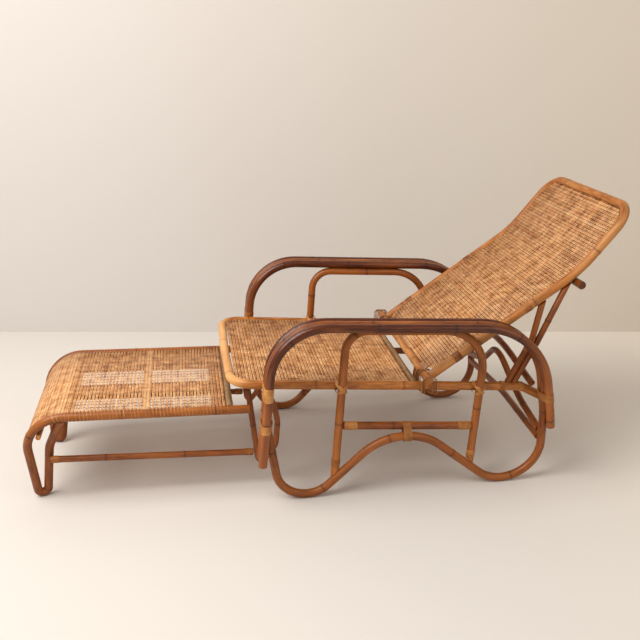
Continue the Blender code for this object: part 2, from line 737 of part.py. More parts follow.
for side_name, side in SIDE_NAMES:
    outer = mirrored(leaned(arm_view, ARM_MIDDLE_Y + ARM_PITCH), side)
    tube(f"arm_outer_cane_{side_name}", outer, ARM_CANE / 2, "dark_lacquered_rattan", frame_group)
    inner = mirrored(leaned(arm_view, ARM_MIDDLE_Y - ARM_PITCH), side)
    tube(f"arm_inner_cane_{side_name}", inner, ARM_CANE / 2, "dark_lacquered_rattan", frame_group)
    loop = mirrored(leaned(loop_view, ARM_MIDDLE_Y, closed=True), side)
    base = tube(
        f"base_loop_cane_{side_name}", loop, BASE_CANE / 2, "brown_rattan", frame_group, closed=True)
    flatten_foot(base, 0.0)

    # Hoop, wound at both feet and cut to stand on the base loop
    hoop = mirrored(leaned(hoop_view, HOOP_Y, lean=0.0), side)
    cuts = []
    bare = []
    for end, step in ((0, 1), (-1, -1)):
        leg = unit(hoop[end] - hoop[end + step])
        met, tangent = crossing(hoop[end], leg, loop_view)
        normal = np.array((-tangent[2], 0.0, tangent[0])) * math.copysign(1.0, tangent[0])
        face = met + normal * (BASE_CANE / 2 + FOOT_GAP)
        face[1] = hoop[end][1]
        facing = abs(float(leg @ normal))
        hoop[end] = hoop[end] + leg * (((face - hoop[end]) @ normal) / (leg @ normal))
        cuts.append((face, normal))
        bare.append((HOOP_CANE / 2 + WRAP_THICK) * math.sqrt(1 - facing ** 2) / facing + WRAP_PITCH / 2)
    run = float(lengths(hoop)[-1])
    wind = HOOP_FOOT_WIND
    tube(
        f"hoop_cane_{side_name}", hoop, HOOP_CANE / 2, "brown_rattan", frame_group,
        wraps=((bare[0], bare[0] + wind, WRAP_THICK), (run - bare[1] - wind, run - bare[1], WRAP_THICK)),
        cuts=cuts)

    # Stretcher between the hoop's legs, wound at both ends
    wound = STRETCHER_CANE / 2 + WRAP_THICK
    front_end = np.array((hoop_x(STRETCHER_FRONT_Z, True), side * HOOP_Y, STRETCHER_FRONT_Z))
    rear_end = np.array((hoop_x(STRETCHER_REAR_Z, False), side * HOOP_Y, STRETCHER_REAR_Z))
    middle = (front_end + rear_end) / 2
    ends = [reach(middle, e, wound, [(hoop, HOOP_CANE / 2)]) for e in (front_end, rear_end)]
    run = float(np.linalg.norm(ends[1] - ends[0]))
    wind = STRETCHER_WIND
    tube(
        f"stretcher_{side_name}", ends, STRETCHER_CANE / 2, "brown_rattan", frame_group,
        wraps=((0.0, wind, WRAP_THICK), (run - wind, run, WRAP_THICK)))

    # Winding that ties the stretcher to the top of the base loop
    tie_x = STRETCHER_TIE_X
    tie_z = STRETCHER_FRONT_Z + (STRETCHER_REAR_Z - STRETCHER_FRONT_Z) * (
        (tie_x - front_end[0]) / (rear_end[0] - front_end[0]))
    low = [p for p in loop_view if p[2] < LOOP_APEX[1] and abs(p[0] - LOOP_APEX[0]) < LOOP_APEX_RADIUS]
    loop_z = height_on(low, tie_x)
    apart = (0.0, side * (lean_y(ARM_MIDDLE_Y, loop_z) - HOOP_Y), loop_z - tie_z)
    canes = [((0.0, 0.0, 0.0), STRETCHER_CANE / 2), (apart, BASE_CANE / 2 + TIE_SLACK)]
    sleeve(
        f"stretcher_tie_{side_name}", (tie_x, side * HOOP_Y, tie_z), ends[1] - ends[0],
        canes, STRETCHER_TIE_LONG, "dark_binding_cane", frame_group)

    # Windings that tie the three leg canes together
    for label, z, front, length in LEG_WRAPS:
        x = arm_x(z, front)
        axis = (arm_x(z + LEG_BAND, front) - x, 0.0, LEG_BAND)
        centre = (x, side * lean_y(ARM_MIDDLE_Y, z), z)
        drift = max(abs(loop_at(loop_view, z + s * length / 2, front) - arm_x(z + s * length / 2, front)
                        - (loop_at(loop_view, z, front) - x)) for s in (-1, 1))
        canes = [((0.0, k * ARM_PITCH, 0.0), ARM_CANE / 2) for k in (-1, 1)]
        canes.append(((loop_at(loop_view, z, front) - x, 0.0, 0.0), BASE_CANE / 2 + drift))
        sleeve(f"{label}_{side_name}", centre, axis, canes, length, "binding_cane", frame_group)

    # Lashings of the seat rail to the hoop and to the rear legs
    along_rail = (1.0, 0.0, SEAT_SLOPE)
    for label, front in (("rail_lash_front", True), ("rail_lash_rear", False)):
        x = hoop_x(rail_z(hoop_x(SEAT_FRONT_Z, front)), front)
        top, foot = (1, 0) if front else (2, 3)
        along_leg = (hoop_corners[top][0] - hoop_corners[foot][0], 0.0, hoop_corners[top][1] - HOOP_FOOT_Z)
        cross_lash(
            f"{label}_{side_name}", (x, side * RAIL_Y, rail_z(x)), (x, side * HOOP_Y, rail_z(x)),
            along_rail, along_leg, SEAT_CANE / 2, HOOP_CANE / 2, "binding_cane", frame_group)

    # Cradle: a lashing under the seat rail that holds the pivot bar down on both sides of the back rail
    cross_lash(
        f"pivot_cradle_{side_name}", (PIVOT_X, side * RAIL_Y, pivot_z),
        (PIVOT_X, side * RAIL_Y, rail_z(PIVOT_X)), (0.0, 1.0, 0.0), along_rail,
        PIVOT_CANE / 2, SEAT_CANE / 2, "dark_binding_cane", frame_group, margin=CRADLE_MARGIN)

# Seat panel, cut to the inside of the frame
inset = SEAT_CANE / 2 + GAP
outline = []
for i in range(1, len(seat_path) - 1):
    tangent = unit(seat_path[i + 1] - seat_path[i - 1])
    outline.append(seat_path[i] + unit(np.array((tangent[1], -tangent[0], 0.0))) * inset)
front_half = [p for p in outline if p[1] > 0.05 and p[0] < SEAT_REAR_X - 0.1]
front_half.sort(key=lambda p: p[1])
panel_front_x = front_half[0][0]
panel_rear_x = SEAT_REAR_X - SEAT_REAR_CANE / 2 - GAP
seat_line = [
    (panel_front_x, 0.0, rail_z(panel_front_x) + PANEL_RISE),
    (panel_rear_x, 0.0, rail_z(panel_rear_x) + PANEL_RISE),
]
widths = [((p[0] - panel_front_x) * rail_slope, p[1]) for p in front_half]
side_half = RAIL_Y - inset
for front in (True, False):
    x = hoop_x(rail_z(hoop_x(SEAT_FRONT_Z, front)), front)
    if x < panel_rear_x:
        s = (x - panel_front_x) * rail_slope
        for at, cut in ((-NOTCH_CLEAR, 0.0), (-NOTCH_CLEAR + GAP, 1.0), (NOTCH_CLEAR - GAP, 1.0), (NOTCH_CLEAR, 0.0)):
            widths.append((s + at, side_half - cut * STRAP_ROOM))
panel("seat_weave", seat_line, widths, "woven_cane", frame_group)
half = RAIL_Y - inset
seat_rear = [(SEAT_REAR_X, -half, rail_z(SEAT_REAR_X)), (SEAT_REAR_X, half, rail_z(SEAT_REAR_X))]
tube("seat_rear_rail", seat_rear, SEAT_REAR_CANE / 2, "honey_rattan", frame_group, sides=THIN_SIDES)

# Bracing between the rear legs
loops = []
for side in (-1.0, 1.0):
    loop = mirrored(leaned(loop_view, ARM_MIDDLE_Y, closed=True), side)
    loops.append((loop + loop[:1], BASE_CANE / 2))
    loops.append((mirrored(leaned(arm_view, ARM_MIDDLE_Y - ARM_PITCH), side), ARM_CANE / 2))
arch = across_bar(BRACE_X, ARCH_FOOT_Z, (ARCH_MIDDLE, (0, ARCH_TOP_Z)), ARCH_RADII, ARM_MIDDLE_Y)
arch = [p - np.array((ARCH_LEAN * (p[2] - ARCH_FOOT_Z), 0.0, 0.0)) for p in arch]
tube("rear_arch", trimmed_bar(arch, BRACE_CANE / 2 + 3 * GAP, loops), BRACE_CANE / 2, "brown_rattan", frame_group)
bow = across_bar(BRACE_X, BOW_FOOT_Z, ((0, BOW_TOP_Z),), (BOW_RADIUS,), ARM_MIDDLE_Y)
tube("rear_lower_bar", trimmed_bar(bow, BRACE_CANE / 2, loops), BRACE_CANE / 2, "brown_rattan", frame_group)
tail = unit(np.array((RAIL_END_X - RAIL_BEND_X, 0.0, RAIL_END_Z - rail_z(RAIL_BEND_X))))
bar_z = height_on(right_rail, UPPER_BAR_X) + ((SEAT_CANE + BRACE_CANE) / 2 + FOOT_GAP) / tail[0]
upper = across_bar(
    UPPER_BAR_X, bar_z, ((0, bar_z + UPPER_BAR_RISE),), (UPPER_BAR_RADIUS,), UPPER_BAR_HALF)
tube("rear_upper_bar", upper, BRACE_CANE / 2, "brown_rattan", frame_group)

# Backrest: rails that butt on the pivot bar, bend upwards and join in the top rail
direction = np.array((math.cos(BACK_ANGLE), 0.0, math.sin(BACK_ANGLE)))
bend = np.array((BACK_BEND[0], 0.0, BACK_BEND[1]))
top = np.array((BACK_TOP[0], 0.0, BACK_TOP[1]))
pivot = np.array((PIVOT_X, 0.0, pivot_z))
rail_origin = bend - direction * float((bend - pivot) @ direction)
rail_start = rail_origin + direction * (PIVOT_CANE / 2 + GAP)
back_view = rounded([rail_origin, bend, top], (BACK_BEND_RADIUS,))
left = [c + np.array((0.0, -BACK_Y, 0.0)) for c in (rail_start, bend, top)]
right = [c + np.array((0.0, BACK_Y, 0.0)) for c in (top, bend, rail_start)]
back_path = rounded(left + right, (BACK_BEND_RADIUS, BACK_CORNER, BACK_CORNER, BACK_BEND_RADIUS))
back_length = float(lengths(back_path)[-1])
bound = []
for along in (BACK_ROD_LOWER, BACK_ROD_UPPER):
    near = along - PIVOT_CANE / 2 - GAP - BACK_WIND / 2
    bound.append((near, near + BACK_WIND, WRAP_THICK))
    bound.append((back_length - near - BACK_WIND, back_length - near, WRAP_THICK))
tube("back_frame", back_path, BACK_CANE / 2, "honey_rattan", back_group, wraps=sorted(bound))
pivot_ends = [(PIVOT_X, -PIVOT_HALF, pivot_z), (PIVOT_X, PIVOT_HALF, pivot_z)]
# Its corners, not its flats, lie at the cane's radius, so that it turns clear of the rails
pivot_radius = PIVOT_CANE / 2 * math.cos(math.pi / SIDES)
tube("pivot_bar", pivot_ends, pivot_radius, "honey_rattan", back_group)

back_run = float(lengths(back_view)[-1])
inset = BACK_CANE / 2 + GAP
panel_back = raised(part_of(back_view, BACK_PANEL_START, back_run - inset), PANEL_RISE)
panel_run = float(lengths(panel_back)[-1])
half = BACK_Y - inset
corner = BACK_CORNER - inset
widths = [(0.0, half - CRADLE_ROOM), (CRADLE_CLEAR - BACK_PANEL_START, half - CRADLE_ROOM)]
widths.append((CRADLE_CLEAR - BACK_PANEL_START + GAP, half - BIND_ROOM))
for s in (BACK_ROD_LOWER - BACK_PANEL_START, BACK_ROD_UPPER - BACK_PANEL_START):
    widths += [(s + BACK_WIND, half - BIND_ROOM)]
widths.append((panel_run - corner, half - BIND_ROOM))
for k in range(1, PANEL_CORNER_STEPS + 1):
    turn = math.pi / 2 * k / PANEL_CORNER_STEPS
    widths.append((panel_run - corner + corner * math.sin(turn), half - BIND_ROOM - corner + corner * math.cos(turn)))
panel("back_weave", panel_back, widths, "woven_cane", back_group)

for label, along in (("lower", BACK_ROD_LOWER), ("upper", BACK_ROD_UPPER)):
    x, _, z = under(back_view, along, BACK_ROD_DROP)
    rod_half = BACK_Y - BACK_CANE / 2 - WRAP_THICK - GAP
    rod = [(x, -rod_half, z), (x, rod_half, z)]
    tube(f"back_cross_rod_{label}", rod, BACK_ROD / 2, "brown_rattan", back_group, sides=THIN_SIDES)
x, _, z = under(back_view, HANDLE_ALONG, (BACK_CANE + HANDLE_CANE) / 2 + 2 * GAP)
handle_path = [np.array((x, -HANDLE_HALF, z)), np.array((x, HANDLE_HALF, z))]
tube("prop_dowel", handle_path, HANDLE_CANE / 2, "dark_lacquered_rattan", back_group)

# Props: two canes a side, bound together below the fork, standing on the seat rail
prop_foot_z = height_on(right_rail, PROP_FOOT_X) + SEAT_CANE / 2
knee = np.array((PROP_KNEE[0], 0.0, PROP_KNEE[1]))
foot = np.array((PROP_FOOT_X, 0.0, prop_foot_z))
down = unit(foot - knee)
beside = np.array((-down[2], 0.0, down[0]))
half_apart = PROP_CANE / 2 + GAP / 2
foot_lift = GAP / abs(down[2])
for side_name, side in SIDE_NAMES:
    for label, along, shift in (("front", PROP_FRONT_ALONG, -1.0), ("rear", PROP_REAR_ALONG, 1.0)):
        at_rail = at_length(back_view, lengths(back_view), along)
        bend_at = knee + beside * (shift * half_apart)
        low = bend_at + down * ((bend_at[2] - prop_foot_z) / abs(down[2]) - foot_lift)
        y = np.array((0.0, side * PROP_Y, 0.0))
        table = lengths(back_view)
        tangent = unit(at_length(back_view, table, along + TANGENT_STEP) - at_rail)
        normal = np.array((tangent[2], 0.0, -tangent[0]))
        face = at_rail + y + normal * (BACK_CANE / 2 + GAP)
        high = face
        path = rounded([high, bend_at + y, low + y], (PROP_KNEE_RADIUS,))
        sole = (foot + y + np.array((0.0, 0.0, GAP)), np.array((-SEAT_SLOPE, 0.0, 1.0)))
        tube(
            f"prop_{label}_cane_{side_name}", path, PROP_CANE / 2, "brown_rattan", back_group,
            cuts=((face, normal), sole))
    centre = knee + down * PROP_WRAP_ALONG + np.array((0.0, side * PROP_Y, 0.0))
    canes = [(beside * (s * half_apart), PROP_CANE / 2) for s in (-1, 1)]
    sleeve(f"prop_wrap_{side_name}", centre, down, canes, PROP_WRAP_LONG, "dark_binding_cane", back_group)

# Footrest: a cane a side that turns down into a foot and comes back up under itself
foot_z = FOOTREST_FOOT[1]
for _ in range(SETTLE_ROUNDS):
    corners = [
        (FOOTREST_REAR[0], FOOTREST_Y, FOOTREST_REAR[1]), (FOOTREST_FRONT[0], FOOTREST_Y, FOOTREST_FRONT[1]),
        (FOOTREST_FOOT[0], FOOTREST_FOOT_Y, foot_z), (FOOTREST_KNEE[0], FOOTREST_KNEE_Y, FOOTREST_KNEE[1]),
        (FOOTREST_JOINT[0], FOOTREST_Y, FOOTREST_JOINT[1]),
    ]
    radii = (FOOTREST_FRONT_RADIUS, FOOTREST_FOOT_RADIUS, FOOTREST_KNEE_RADIUS)
    foot_line = rounded(corners, radii)
    foot_z -= min(p[2] for p in foot_line) - (FOOTREST_CANE / 2 - FLAT_CUT)
bend_run = unit(foot_line[2] - foot_line[1])
below = unit(np.array((-bend_run[2], 0.0, bend_run[0])))
rest_face = foot_line[1] + below * (FOOTREST_CANE / 2 + 2 * FOOT_GAP)
last = unit(foot_line[-1] - foot_line[-2])
foot_line[-1] = foot_line[-1] + last * (((rest_face - foot_line[-1]) @ below) / (last @ below))
rest_rail = [np.array(corners[0]), np.array(corners[1])]
outer_arm = (np.array(corners[1]), np.array(corners[2]))


def on_outer_arm(z):
    """A point on the footrest's outer leg at a height, on the right side."""
    high, low = outer_arm
    return high + (low - high) * ((z - high[2]) / (low[2] - high[2]))


for side_name, side in SIDE_NAMES:
    cane = mirrored(foot_line, side)
    face = rest_face * np.array((1.0, side, 1.0))
    made = tube(
        f"footrest_side_cane_{side_name}", cane, FOOTREST_CANE / 2, "brown_rattan", footrest_group,
        cuts=(None, (face, below)))
    flatten_foot(made, 0.0)

    # Hairpin at the rear end, on the inner side of the rail
    hairpin_y = FOOTREST_Y - (FOOTREST_CANE + HAIRPIN_CANE) / 2 - GAP
    hairpin = [np.array((x, side * hairpin_y, z)) for x, _, z in rounded(side_path(HAIRPIN_CORNERS), HAIRPIN_RADII)]
    tube(
        f"footrest_hairpin_{side_name}", hairpin, HAIRPIN_CANE / 2, "brown_rattan", footrest_group,
        sides=THIN_SIDES)

    # Stretcher from the outer leg, past the inner one, to the hairpin
    wound = FOOTREST_STRETCHER_CANE / 2 + WRAP_THICK
    front = on_outer_arm(FOOTREST_STRETCHER_FRONT_Z) + np.array((0.0, STRETCHER_ASIDE, 0.0))
    front = front * np.array((1.0, side, 1.0))
    rear = np.array((HAIRPIN_CORNERS[1][0], side * hairpin_y, FOOTREST_STRETCHER_REAR_Z))
    middle = (front + rear) / 2
    ends = [
        reach(middle, front, wound, [(cane, FOOTREST_CANE / 2)]),
        reach(middle, rear, wound, [(hairpin, HAIRPIN_CANE / 2)]),
    ]
    run = float(np.linalg.norm(ends[1] - ends[0]))
    wind = FOOTREST_WIND
    tube(
        f"footrest_stretcher_{side_name}", ends, FOOTREST_STRETCHER_CANE / 2, "brown_rattan",
        footrest_group, wraps=((0.0, wind, WRAP_THICK), (run - wind, run, WRAP_THICK)))

# Footrest cross pieces and panel
rear_z = height_on(rest_rail, FOOTREST_REAR_RAIL_X)
half = FOOTREST_Y - FOOTREST_CANE / 2 - GAP
rear_rail = [(FOOTREST_REAR_RAIL_X, -half, rear_z), (FOOTREST_REAR_RAIL_X, half, rear_z)]
tube("footrest_rear_rail", rear_rail, FOOTREST_REAR_RAIL_CANE / 2, "honey_rattan", footrest_group)
both = [(mirrored(foot_line, s), FOOTREST_CANE / 2) for s in (-1.0, 1.0)]
x, z = FOOTREST_ROD_AT
rod_ends = [
    reach((x, 0.0, z), (x, s * FOOTREST_Y, z), FOOTREST_ROD / 2 + 2 * GAP, both) for s in (-1.0, 1.0)]
tube("footrest_front_rod", rod_ends, FOOTREST_ROD / 2, "honey_rattan", footrest_group, sides=THIN_SIDES)

start = FOOTREST_REAR[0] - FOOTREST_REAR_RAIL_X + FOOTREST_REAR_RAIL_CANE / 2 + GAP
line = part_of(foot_line, start, FOOTREST_PANEL_LONG)
flat_line = [np.array((p[0], 0.0, p[2])) for p in line]
panel_line = raised(flat_line, -PANEL_RISE)
table = lengths(panel_line)
widths = [(float(s), p[1] - FOOTREST_CANE / 2 - 3 * GAP) for s, p in zip(table, line)]
panel("footrest_weave", panel_line, widths, "woven_cane", footrest_group)

# The middle of the length comes to X = 0
low, high = math.inf, -math.inf
for obj in bpy.data.objects:
    if obj.type == "MESH":
        xs = [v.co.x + obj.parent.location.x for v in obj.data.vertices]
        low, high = min(low, min(xs)), max(high, max(xs))
for group in (frame_group, back_group, footrest_group):
    group.location.x -= (low + high) / 2
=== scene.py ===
"""Rattan chaise longue: bent-cane arms, a woven seat, a hinged woven back on props and a
woven footrest. Smooth canes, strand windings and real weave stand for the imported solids."""

import math

import bpy
import numpy as np
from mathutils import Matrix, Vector


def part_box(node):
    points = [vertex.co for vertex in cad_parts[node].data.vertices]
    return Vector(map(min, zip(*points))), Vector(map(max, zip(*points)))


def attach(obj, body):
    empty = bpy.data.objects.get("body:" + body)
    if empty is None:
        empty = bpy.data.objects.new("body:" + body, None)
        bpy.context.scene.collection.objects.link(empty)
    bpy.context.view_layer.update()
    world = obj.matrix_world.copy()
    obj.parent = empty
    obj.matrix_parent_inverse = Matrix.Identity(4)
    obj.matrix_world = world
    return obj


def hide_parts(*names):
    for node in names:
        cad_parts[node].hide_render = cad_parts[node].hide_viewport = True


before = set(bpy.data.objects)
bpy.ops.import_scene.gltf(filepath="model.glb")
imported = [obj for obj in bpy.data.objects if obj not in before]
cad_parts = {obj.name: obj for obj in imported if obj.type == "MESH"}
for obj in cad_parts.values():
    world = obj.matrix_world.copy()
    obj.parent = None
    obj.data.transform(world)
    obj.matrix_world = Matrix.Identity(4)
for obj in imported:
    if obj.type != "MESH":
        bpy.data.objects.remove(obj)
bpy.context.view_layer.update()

# Distances are in metres, in the CAD source's own frame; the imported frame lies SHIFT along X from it
PIVOT_X = 0.171
pivot_low, pivot_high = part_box("pivot_bar")
SHIFT = (pivot_low[0] + pivot_high[0]) / 2 - PIVOT_X

# Camera at the photograph's viewpoint
camera_data = bpy.data.cameras.new("chaise_camera")
camera = bpy.data.objects.new("chaise_camera", camera_data)
bpy.context.scene.collection.objects.link(camera)
bpy.context.scene.camera = camera
CAMERA_SENSOR = 36.0
CAMERA_LENS = 46.90
CAMERA_X, CAMERA_Y, CAMERA_Z = -0.5165, -2.5168, 1.3543
CAMERA_DOWN = math.radians(19.398)
CAMERA_TURN = math.radians(-9.216)
camera_data.sensor_width = CAMERA_SENSOR
camera_data.lens = CAMERA_LENS
camera.location = (CAMERA_X + SHIFT, CAMERA_Y, CAMERA_Z)
camera.rotation_euler = (math.pi / 2 - CAMERA_DOWN, 0.0, CAMERA_TURN)

# Clearances between neighbouring pieces
GAP = 0.0003
FOOT_GAP = 0.0009
RAIL_SLACK = 0.003

# Cane diameters
ARM_CANE = 0.026
BASE_CANE = 0.026
HOOP_CANE = 0.025
STRETCHER_CANE = 0.024
SEAT_CANE = 0.027
SEAT_REAR_CANE = 0.021
BACK_CANE = 0.027
PIVOT_CANE = 0.025
BACK_ROD = 0.013
HANDLE_CANE = 0.025
PROP_CANE = 0.019
BRACE_CANE = 0.021
FOOTREST_CANE = 0.026
FOOTREST_STRETCHER_CANE = 0.020
FOOTREST_ROD = 0.015
HAIRPIN_CANE = 0.018

# Side frames: spacing of the three arm canes and the inward lean of the feet
ARM_MIDDLE_Y = 0.341
ARM_PITCH = ARM_CANE + GAP
HOOP_Y = ARM_MIDDLE_Y - ARM_PITCH
RAIL_Y = HOOP_Y - ARM_CANE / 2 - SEAT_CANE / 2 - GAP - RAIL_SLACK
LEAN_HEIGHT = 0.25
LEAN = 0.10

# Arms, seen from the side
ARM_FRONT_X = -0.2952
ARM_FRONT_Z = 0.5698
ARM_REAR_X = 0.4955
ARM_REAR_Z = 0.5231
ARM_FRONT_FOOT = (-0.3359, 0.138)
ARM_REAR_FOOT = (0.5469, 0.200)
ARM_FRONT_RADIUS = 0.161
ARM_REAR_RADIUS = 0.225

# Base loop of the middle arm cane, seen from the side
KNEE_FRONT_Z = 0.275
KNEE_REAR_Z = 0.326
LOOP_FRONT = (-0.2640, -0.0805)
LOOP_APEX = (0.0823, 0.2546)
LOOP_REAR = (0.5481, -0.1294)
LOOP_FRONT_RADIUS = 0.0944
LOOP_APEX_RADIUS = 0.1816
LOOP_REAR_RADIUS = 0.1178
KNEE_RADIUS = 0.25

# Hoop under the arm
HOOP_FRONT_X = -0.0811
HOOP_REAR_X = 0.3434
HOOP_FRONT_FOOT_X = -0.1077
HOOP_REAR_FOOT_X = 0.3181
HOOP_FOOT_Z = 0.16
HOOP_FRONT_RADIUS = 0.065
HOOP_REAR_RADIUS = 0.126
STRETCHER_FRONT_Z = 0.232
STRETCHER_REAR_Z = 0.199

# Seat
SEAT_FRONT_X = -0.414
SEAT_BOW = 0.006
SEAT_FRONT_Z = 0.3745
SEAT_SLOPE = -0.0766
SEAT_CORNER = 0.065
RAIL_BEND_X = 0.475
RAIL_END_X = 0.556
RAIL_END_Z = 0.262
SEAT_REAR_X = 0.137
PANEL_RISE = 0.007
RAIL_BEND_RADIUS = 0.06
SEAT_BOW_RADIUS = 2.0

# Backrest
PIVOT_HALF = 0.314
BACK_Y = 0.275
BACK_BEND = (0.6310, 0.6655)
BACK_ANGLE = math.radians(34.7)
BACK_TOP = (0.7815, 0.8475)
BACK_BEND_RADIUS = 0.40
BACK_CORNER = 0.075
BACK_ROD_LOWER = 0.112
BACK_ROD_UPPER = 0.366
BACK_ROD_DROP = 0.0030
BACK_WIND = 0.026
BIND_ROOM = 0.0019
HANDLE_HALF = 0.312
HANDLE_ALONG = 0.529
PROP_Y = 0.281
PROP_FRONT_ALONG = 0.411
PROP_REAR_ALONG = 0.497
PROP_KNEE = (0.507, 0.452)
PROP_FOOT_X = 0.4415
PROP_KNEE_RADIUS = 0.05
NOTCH_HALF = 0.0245
NOTCH_LONG = 0.0110

# Rear bracing between the base loops
BRACE_X = 0.530
ARCH_FOOT_Z = 0.168
ARCH_MIDDLE = (0.170, 0.2120)
ARCH_TOP_Z = 0.330
ARCH_RADII = (0.25, 0.10, 0.25)
ARCH_LEAN = 0.173
BOW_FOOT_Z = 0.1445
BOW_TOP_Z = 0.165
BOW_RADIUS = 1.10
UPPER_BAR_X = 0.503
UPPER_BAR_HALF = 0.297
UPPER_BAR_RISE = 0.046
UPPER_BAR_RADIUS = 0.8

# Footrest
FOOTREST_Y = 0.250
FOOTREST_REAR = (-0.362, 0.2757)
FOOTREST_FRONT = (-1.0200, 0.2935)
FOOTREST_FOOT = (-1.0000, -0.0900)
FOOTREST_FOOT_Y = 0.148
FOOTREST_KNEE = (-0.956, 0.178)
FOOTREST_KNEE_Y = 0.203
FOOTREST_JOINT = (-0.9030, 0.2935)
FOOTREST_FRONT_RADIUS = 0.115
FOOTREST_FOOT_RADIUS = 0.0155
FOOTREST_KNEE_RADIUS = 0.09
FOOTREST_REAR_RAIL_X = -0.420
FOOTREST_REAR_RAIL_CANE = 0.022
FOOTREST_ROD_AT = (-0.9760, 0.2300)
FOOTREST_STRETCHER_FRONT_Z = 0.144
FOOTREST_STRETCHER_REAR_Z = 0.120
HAIRPIN_CORNERS = (
    (-0.364, 0.330), (-0.340, 0.105), (-0.334, 0.075),
    (-0.2830, 0.140), (-0.2760, 0.225), (-0.293, 0.290))
HAIRPIN_RADII = (0.02, 0.0122, 0.05, 0.10)

# Weave and windings, at true size
STAKE_PITCH = 0.0105
STAKE_WIDE = 0.0031
STAKE_THICK = 0.0015
STAKE_APART = 0.0019
WEAVER_WIDE = 0.0034
WEAVER_THICK = 0.0011
WEAVER_WAVE = 0.0016
WEAVER_CLOSE = 0.0052
WINDING_PITCH = 0.0034
WINDING_WIDE = 0.0028
WINDING_THICK = 0.0011
WRAP_THICK = 0.0018
WRAP_PITCH = 0.0085

# Where the windings and lashings sit
STRAP_MARGIN = 0.0058
STRAP_TURN = 0.55
STRAP_STEP = math.radians(15.0)
CRADLE_MARGIN = 0.0178
HOOP_FOOT_WIND = 0.022
STRETCHER_WIND = 0.042
STRETCHER_TIE_X = 0.105
STRETCHER_TIE_LONG = 0.026
FOOTREST_WIND = 0.026
STRETCHER_ASIDE = 0.006
PROP_WRAP_ALONG = 0.026
PROP_WRAP_LONG = 0.024
LEG_WRAPS = (
    ("front_leg_upper_wrap", 0.370, True, 0.042),
    ("front_leg_lower_wrap", 0.262, True, 0.026),
    ("rear_leg_wrap", 0.300, False, 0.026),
)
LEG_BAND = 0.05
LEG_LOW = 0.10
TIE_SLACK = 0.0022
FOOTREST_WOUND = (0.058, 0.568)
RAIL_WIND_PITCH = 0.0105

# Woven panels: where each starts or ends, and the room that it leaves for lashings and windings
PANEL_FRONT_Y = 0.05
PANEL_FRONT_X = 0.1
NOTCH_CLEAR = 0.0270
STRAP_ROOM = 0.0080
BACK_PANEL_START = 0.0132
CRADLE_ROOM = 0.030
CRADLE_CLEAR = 0.0330
PANEL_CORNER_STEPS = 5
FOOTREST_PANEL_LONG = 0.690

# Open windows of the footrest weave as (start, end, low, high), and its bands of closer strands
FOOTREST_WINDOWS = (
    (0.045, 0.225, -0.225, -0.125), (0.045, 0.225, -0.040, 0.060),
    (0.249, 0.440, -0.225, -0.125), (0.249, 0.440, -0.040, 0.060))
FOOTREST_BANDS = ((0.225, 0.249), (0.455, 0.700))

# Knuckles: their places along a cane, then each one's shape as (along, rise, ring) steps
KNUCKLE_FIRST = 0.05
KNUCKLE_APART = 0.190
KNUCKLE_SPREAD = 0.130
KNUCKLE_CLEAR = 0.020
KNUCKLE_SHAPE = (
    (-0.0080, 0.0, 0.0), (-0.0030, 0.0002, 0.3), (-0.0010, 0.0006, 0.8), (0.0, 0.0001, 1.0),
    (0.0010, 0.0005, 0.8), (0.0030, 0.0001, 0.3), (0.0080, 0.0, 0.0))

# How strands lie: lashings, strips under the weave's edges that are painted shade in its holes along the
# rails, and the weave itself
CRADLE_STRANDS = 5
CROSS_LONG = 0.0105
ASLANT = 0.41
LASH_PITCH = 0.0030
LASH_WIDE = 0.0030
STRIP_IN = 0.0092
STRIP_END = 0.0070
STRIP_LOW = 0.0026
STRIP_EVERY = 12
STRIP_WIDE = 0.0135
FIRST_PAIR = STAKE_PITCH / 2
STAKE_PROUD = 0.0007
EDGE_OPEN = 0.0066
EDGE_STRIPES = 0.024
OPEN_EVERY = 4
RIM_EVERY = 3
STAKE_TUCK = 0.0022
LEAST_RUN = 4

# Mesh fineness. FLAT_CORNER is how far a strand's corners lie out, times its half width, and
# CAD_SIDES are the sides of the pivot bar's solid, whose flats the smooth cane must not pass
SETTLE_ROUNDS = 8
CAD_SIDES = 12
CANE_SIDES = 20
STRAND_SIDES = 4
FLAT_CORNER = 1.4142
STAKE_POINTS = 3
WINDING_STEPS = 16
ROUND_STEPS = 40
EDGE_STEPS = 1200
ROUND_SHARP = 50.0
STRAND_SHARP = 180.0
ARC_STEP = math.radians(7.0)
ARC_FLAT = 0.0002
TANGENT_STEP = 0.002
REACH_FAR = 0.002
REACH_FINE = 0.0002
REACH_RIM = 12
FLAT_CUT = 0.0010
LEAST_TURN = math.radians(0.2)
ALONG_SHARE = 0.7
PARALLEL = 1e-9
ODD_DIRECTION = (0.3, 0.5, 0.8)

# Tone of the canes: an axis (0 along the length, 2 up), places on it and the tone at each. Arms and
# hoops are worn warm towards their feet. The seat rail's front is painted paler and its sides darker:
# painted light and shade, as the front faces the lamp and the sides lie in shade
PLAIN_TONE = 0.5
PLAIN_WEAR = (2, (0.0, 1.0), (PLAIN_TONE, PLAIN_TONE))
ARM_WEAR = (2, (0.22, 0.40, 0.60), (0.95, 0.72, 0.26))
BASE_WEAR = (2, (0.02, 0.20, 0.40), (0.62, 0.58, 0.50))
HOOP_WEAR = (2, (0.18, 0.45), (0.80, 0.60))
STRETCHER_WEAR = (2, (0.0, 1.0), (0.42, 0.42))
RAIL_PAINTED_LIGHT = (0, (-0.410, -0.350), (0.95, 0.22))
FOOT_WEAR = (2, (0.05, 0.28), (0.45, 0.62))

# Tone of the strands: the pale cross strands keep to the upper part of the range, the others don't
STAKE_TONE, STAKE_TONE_MORE = 0.55, 0.45
STAKE_TONE_STEP, STAKE_TONE_START = 0.71, 5.0
WEAVER_TONE = 0.45
WEAVER_TONE_STEP, WEAVER_TONE_START = 1.37, 9.0

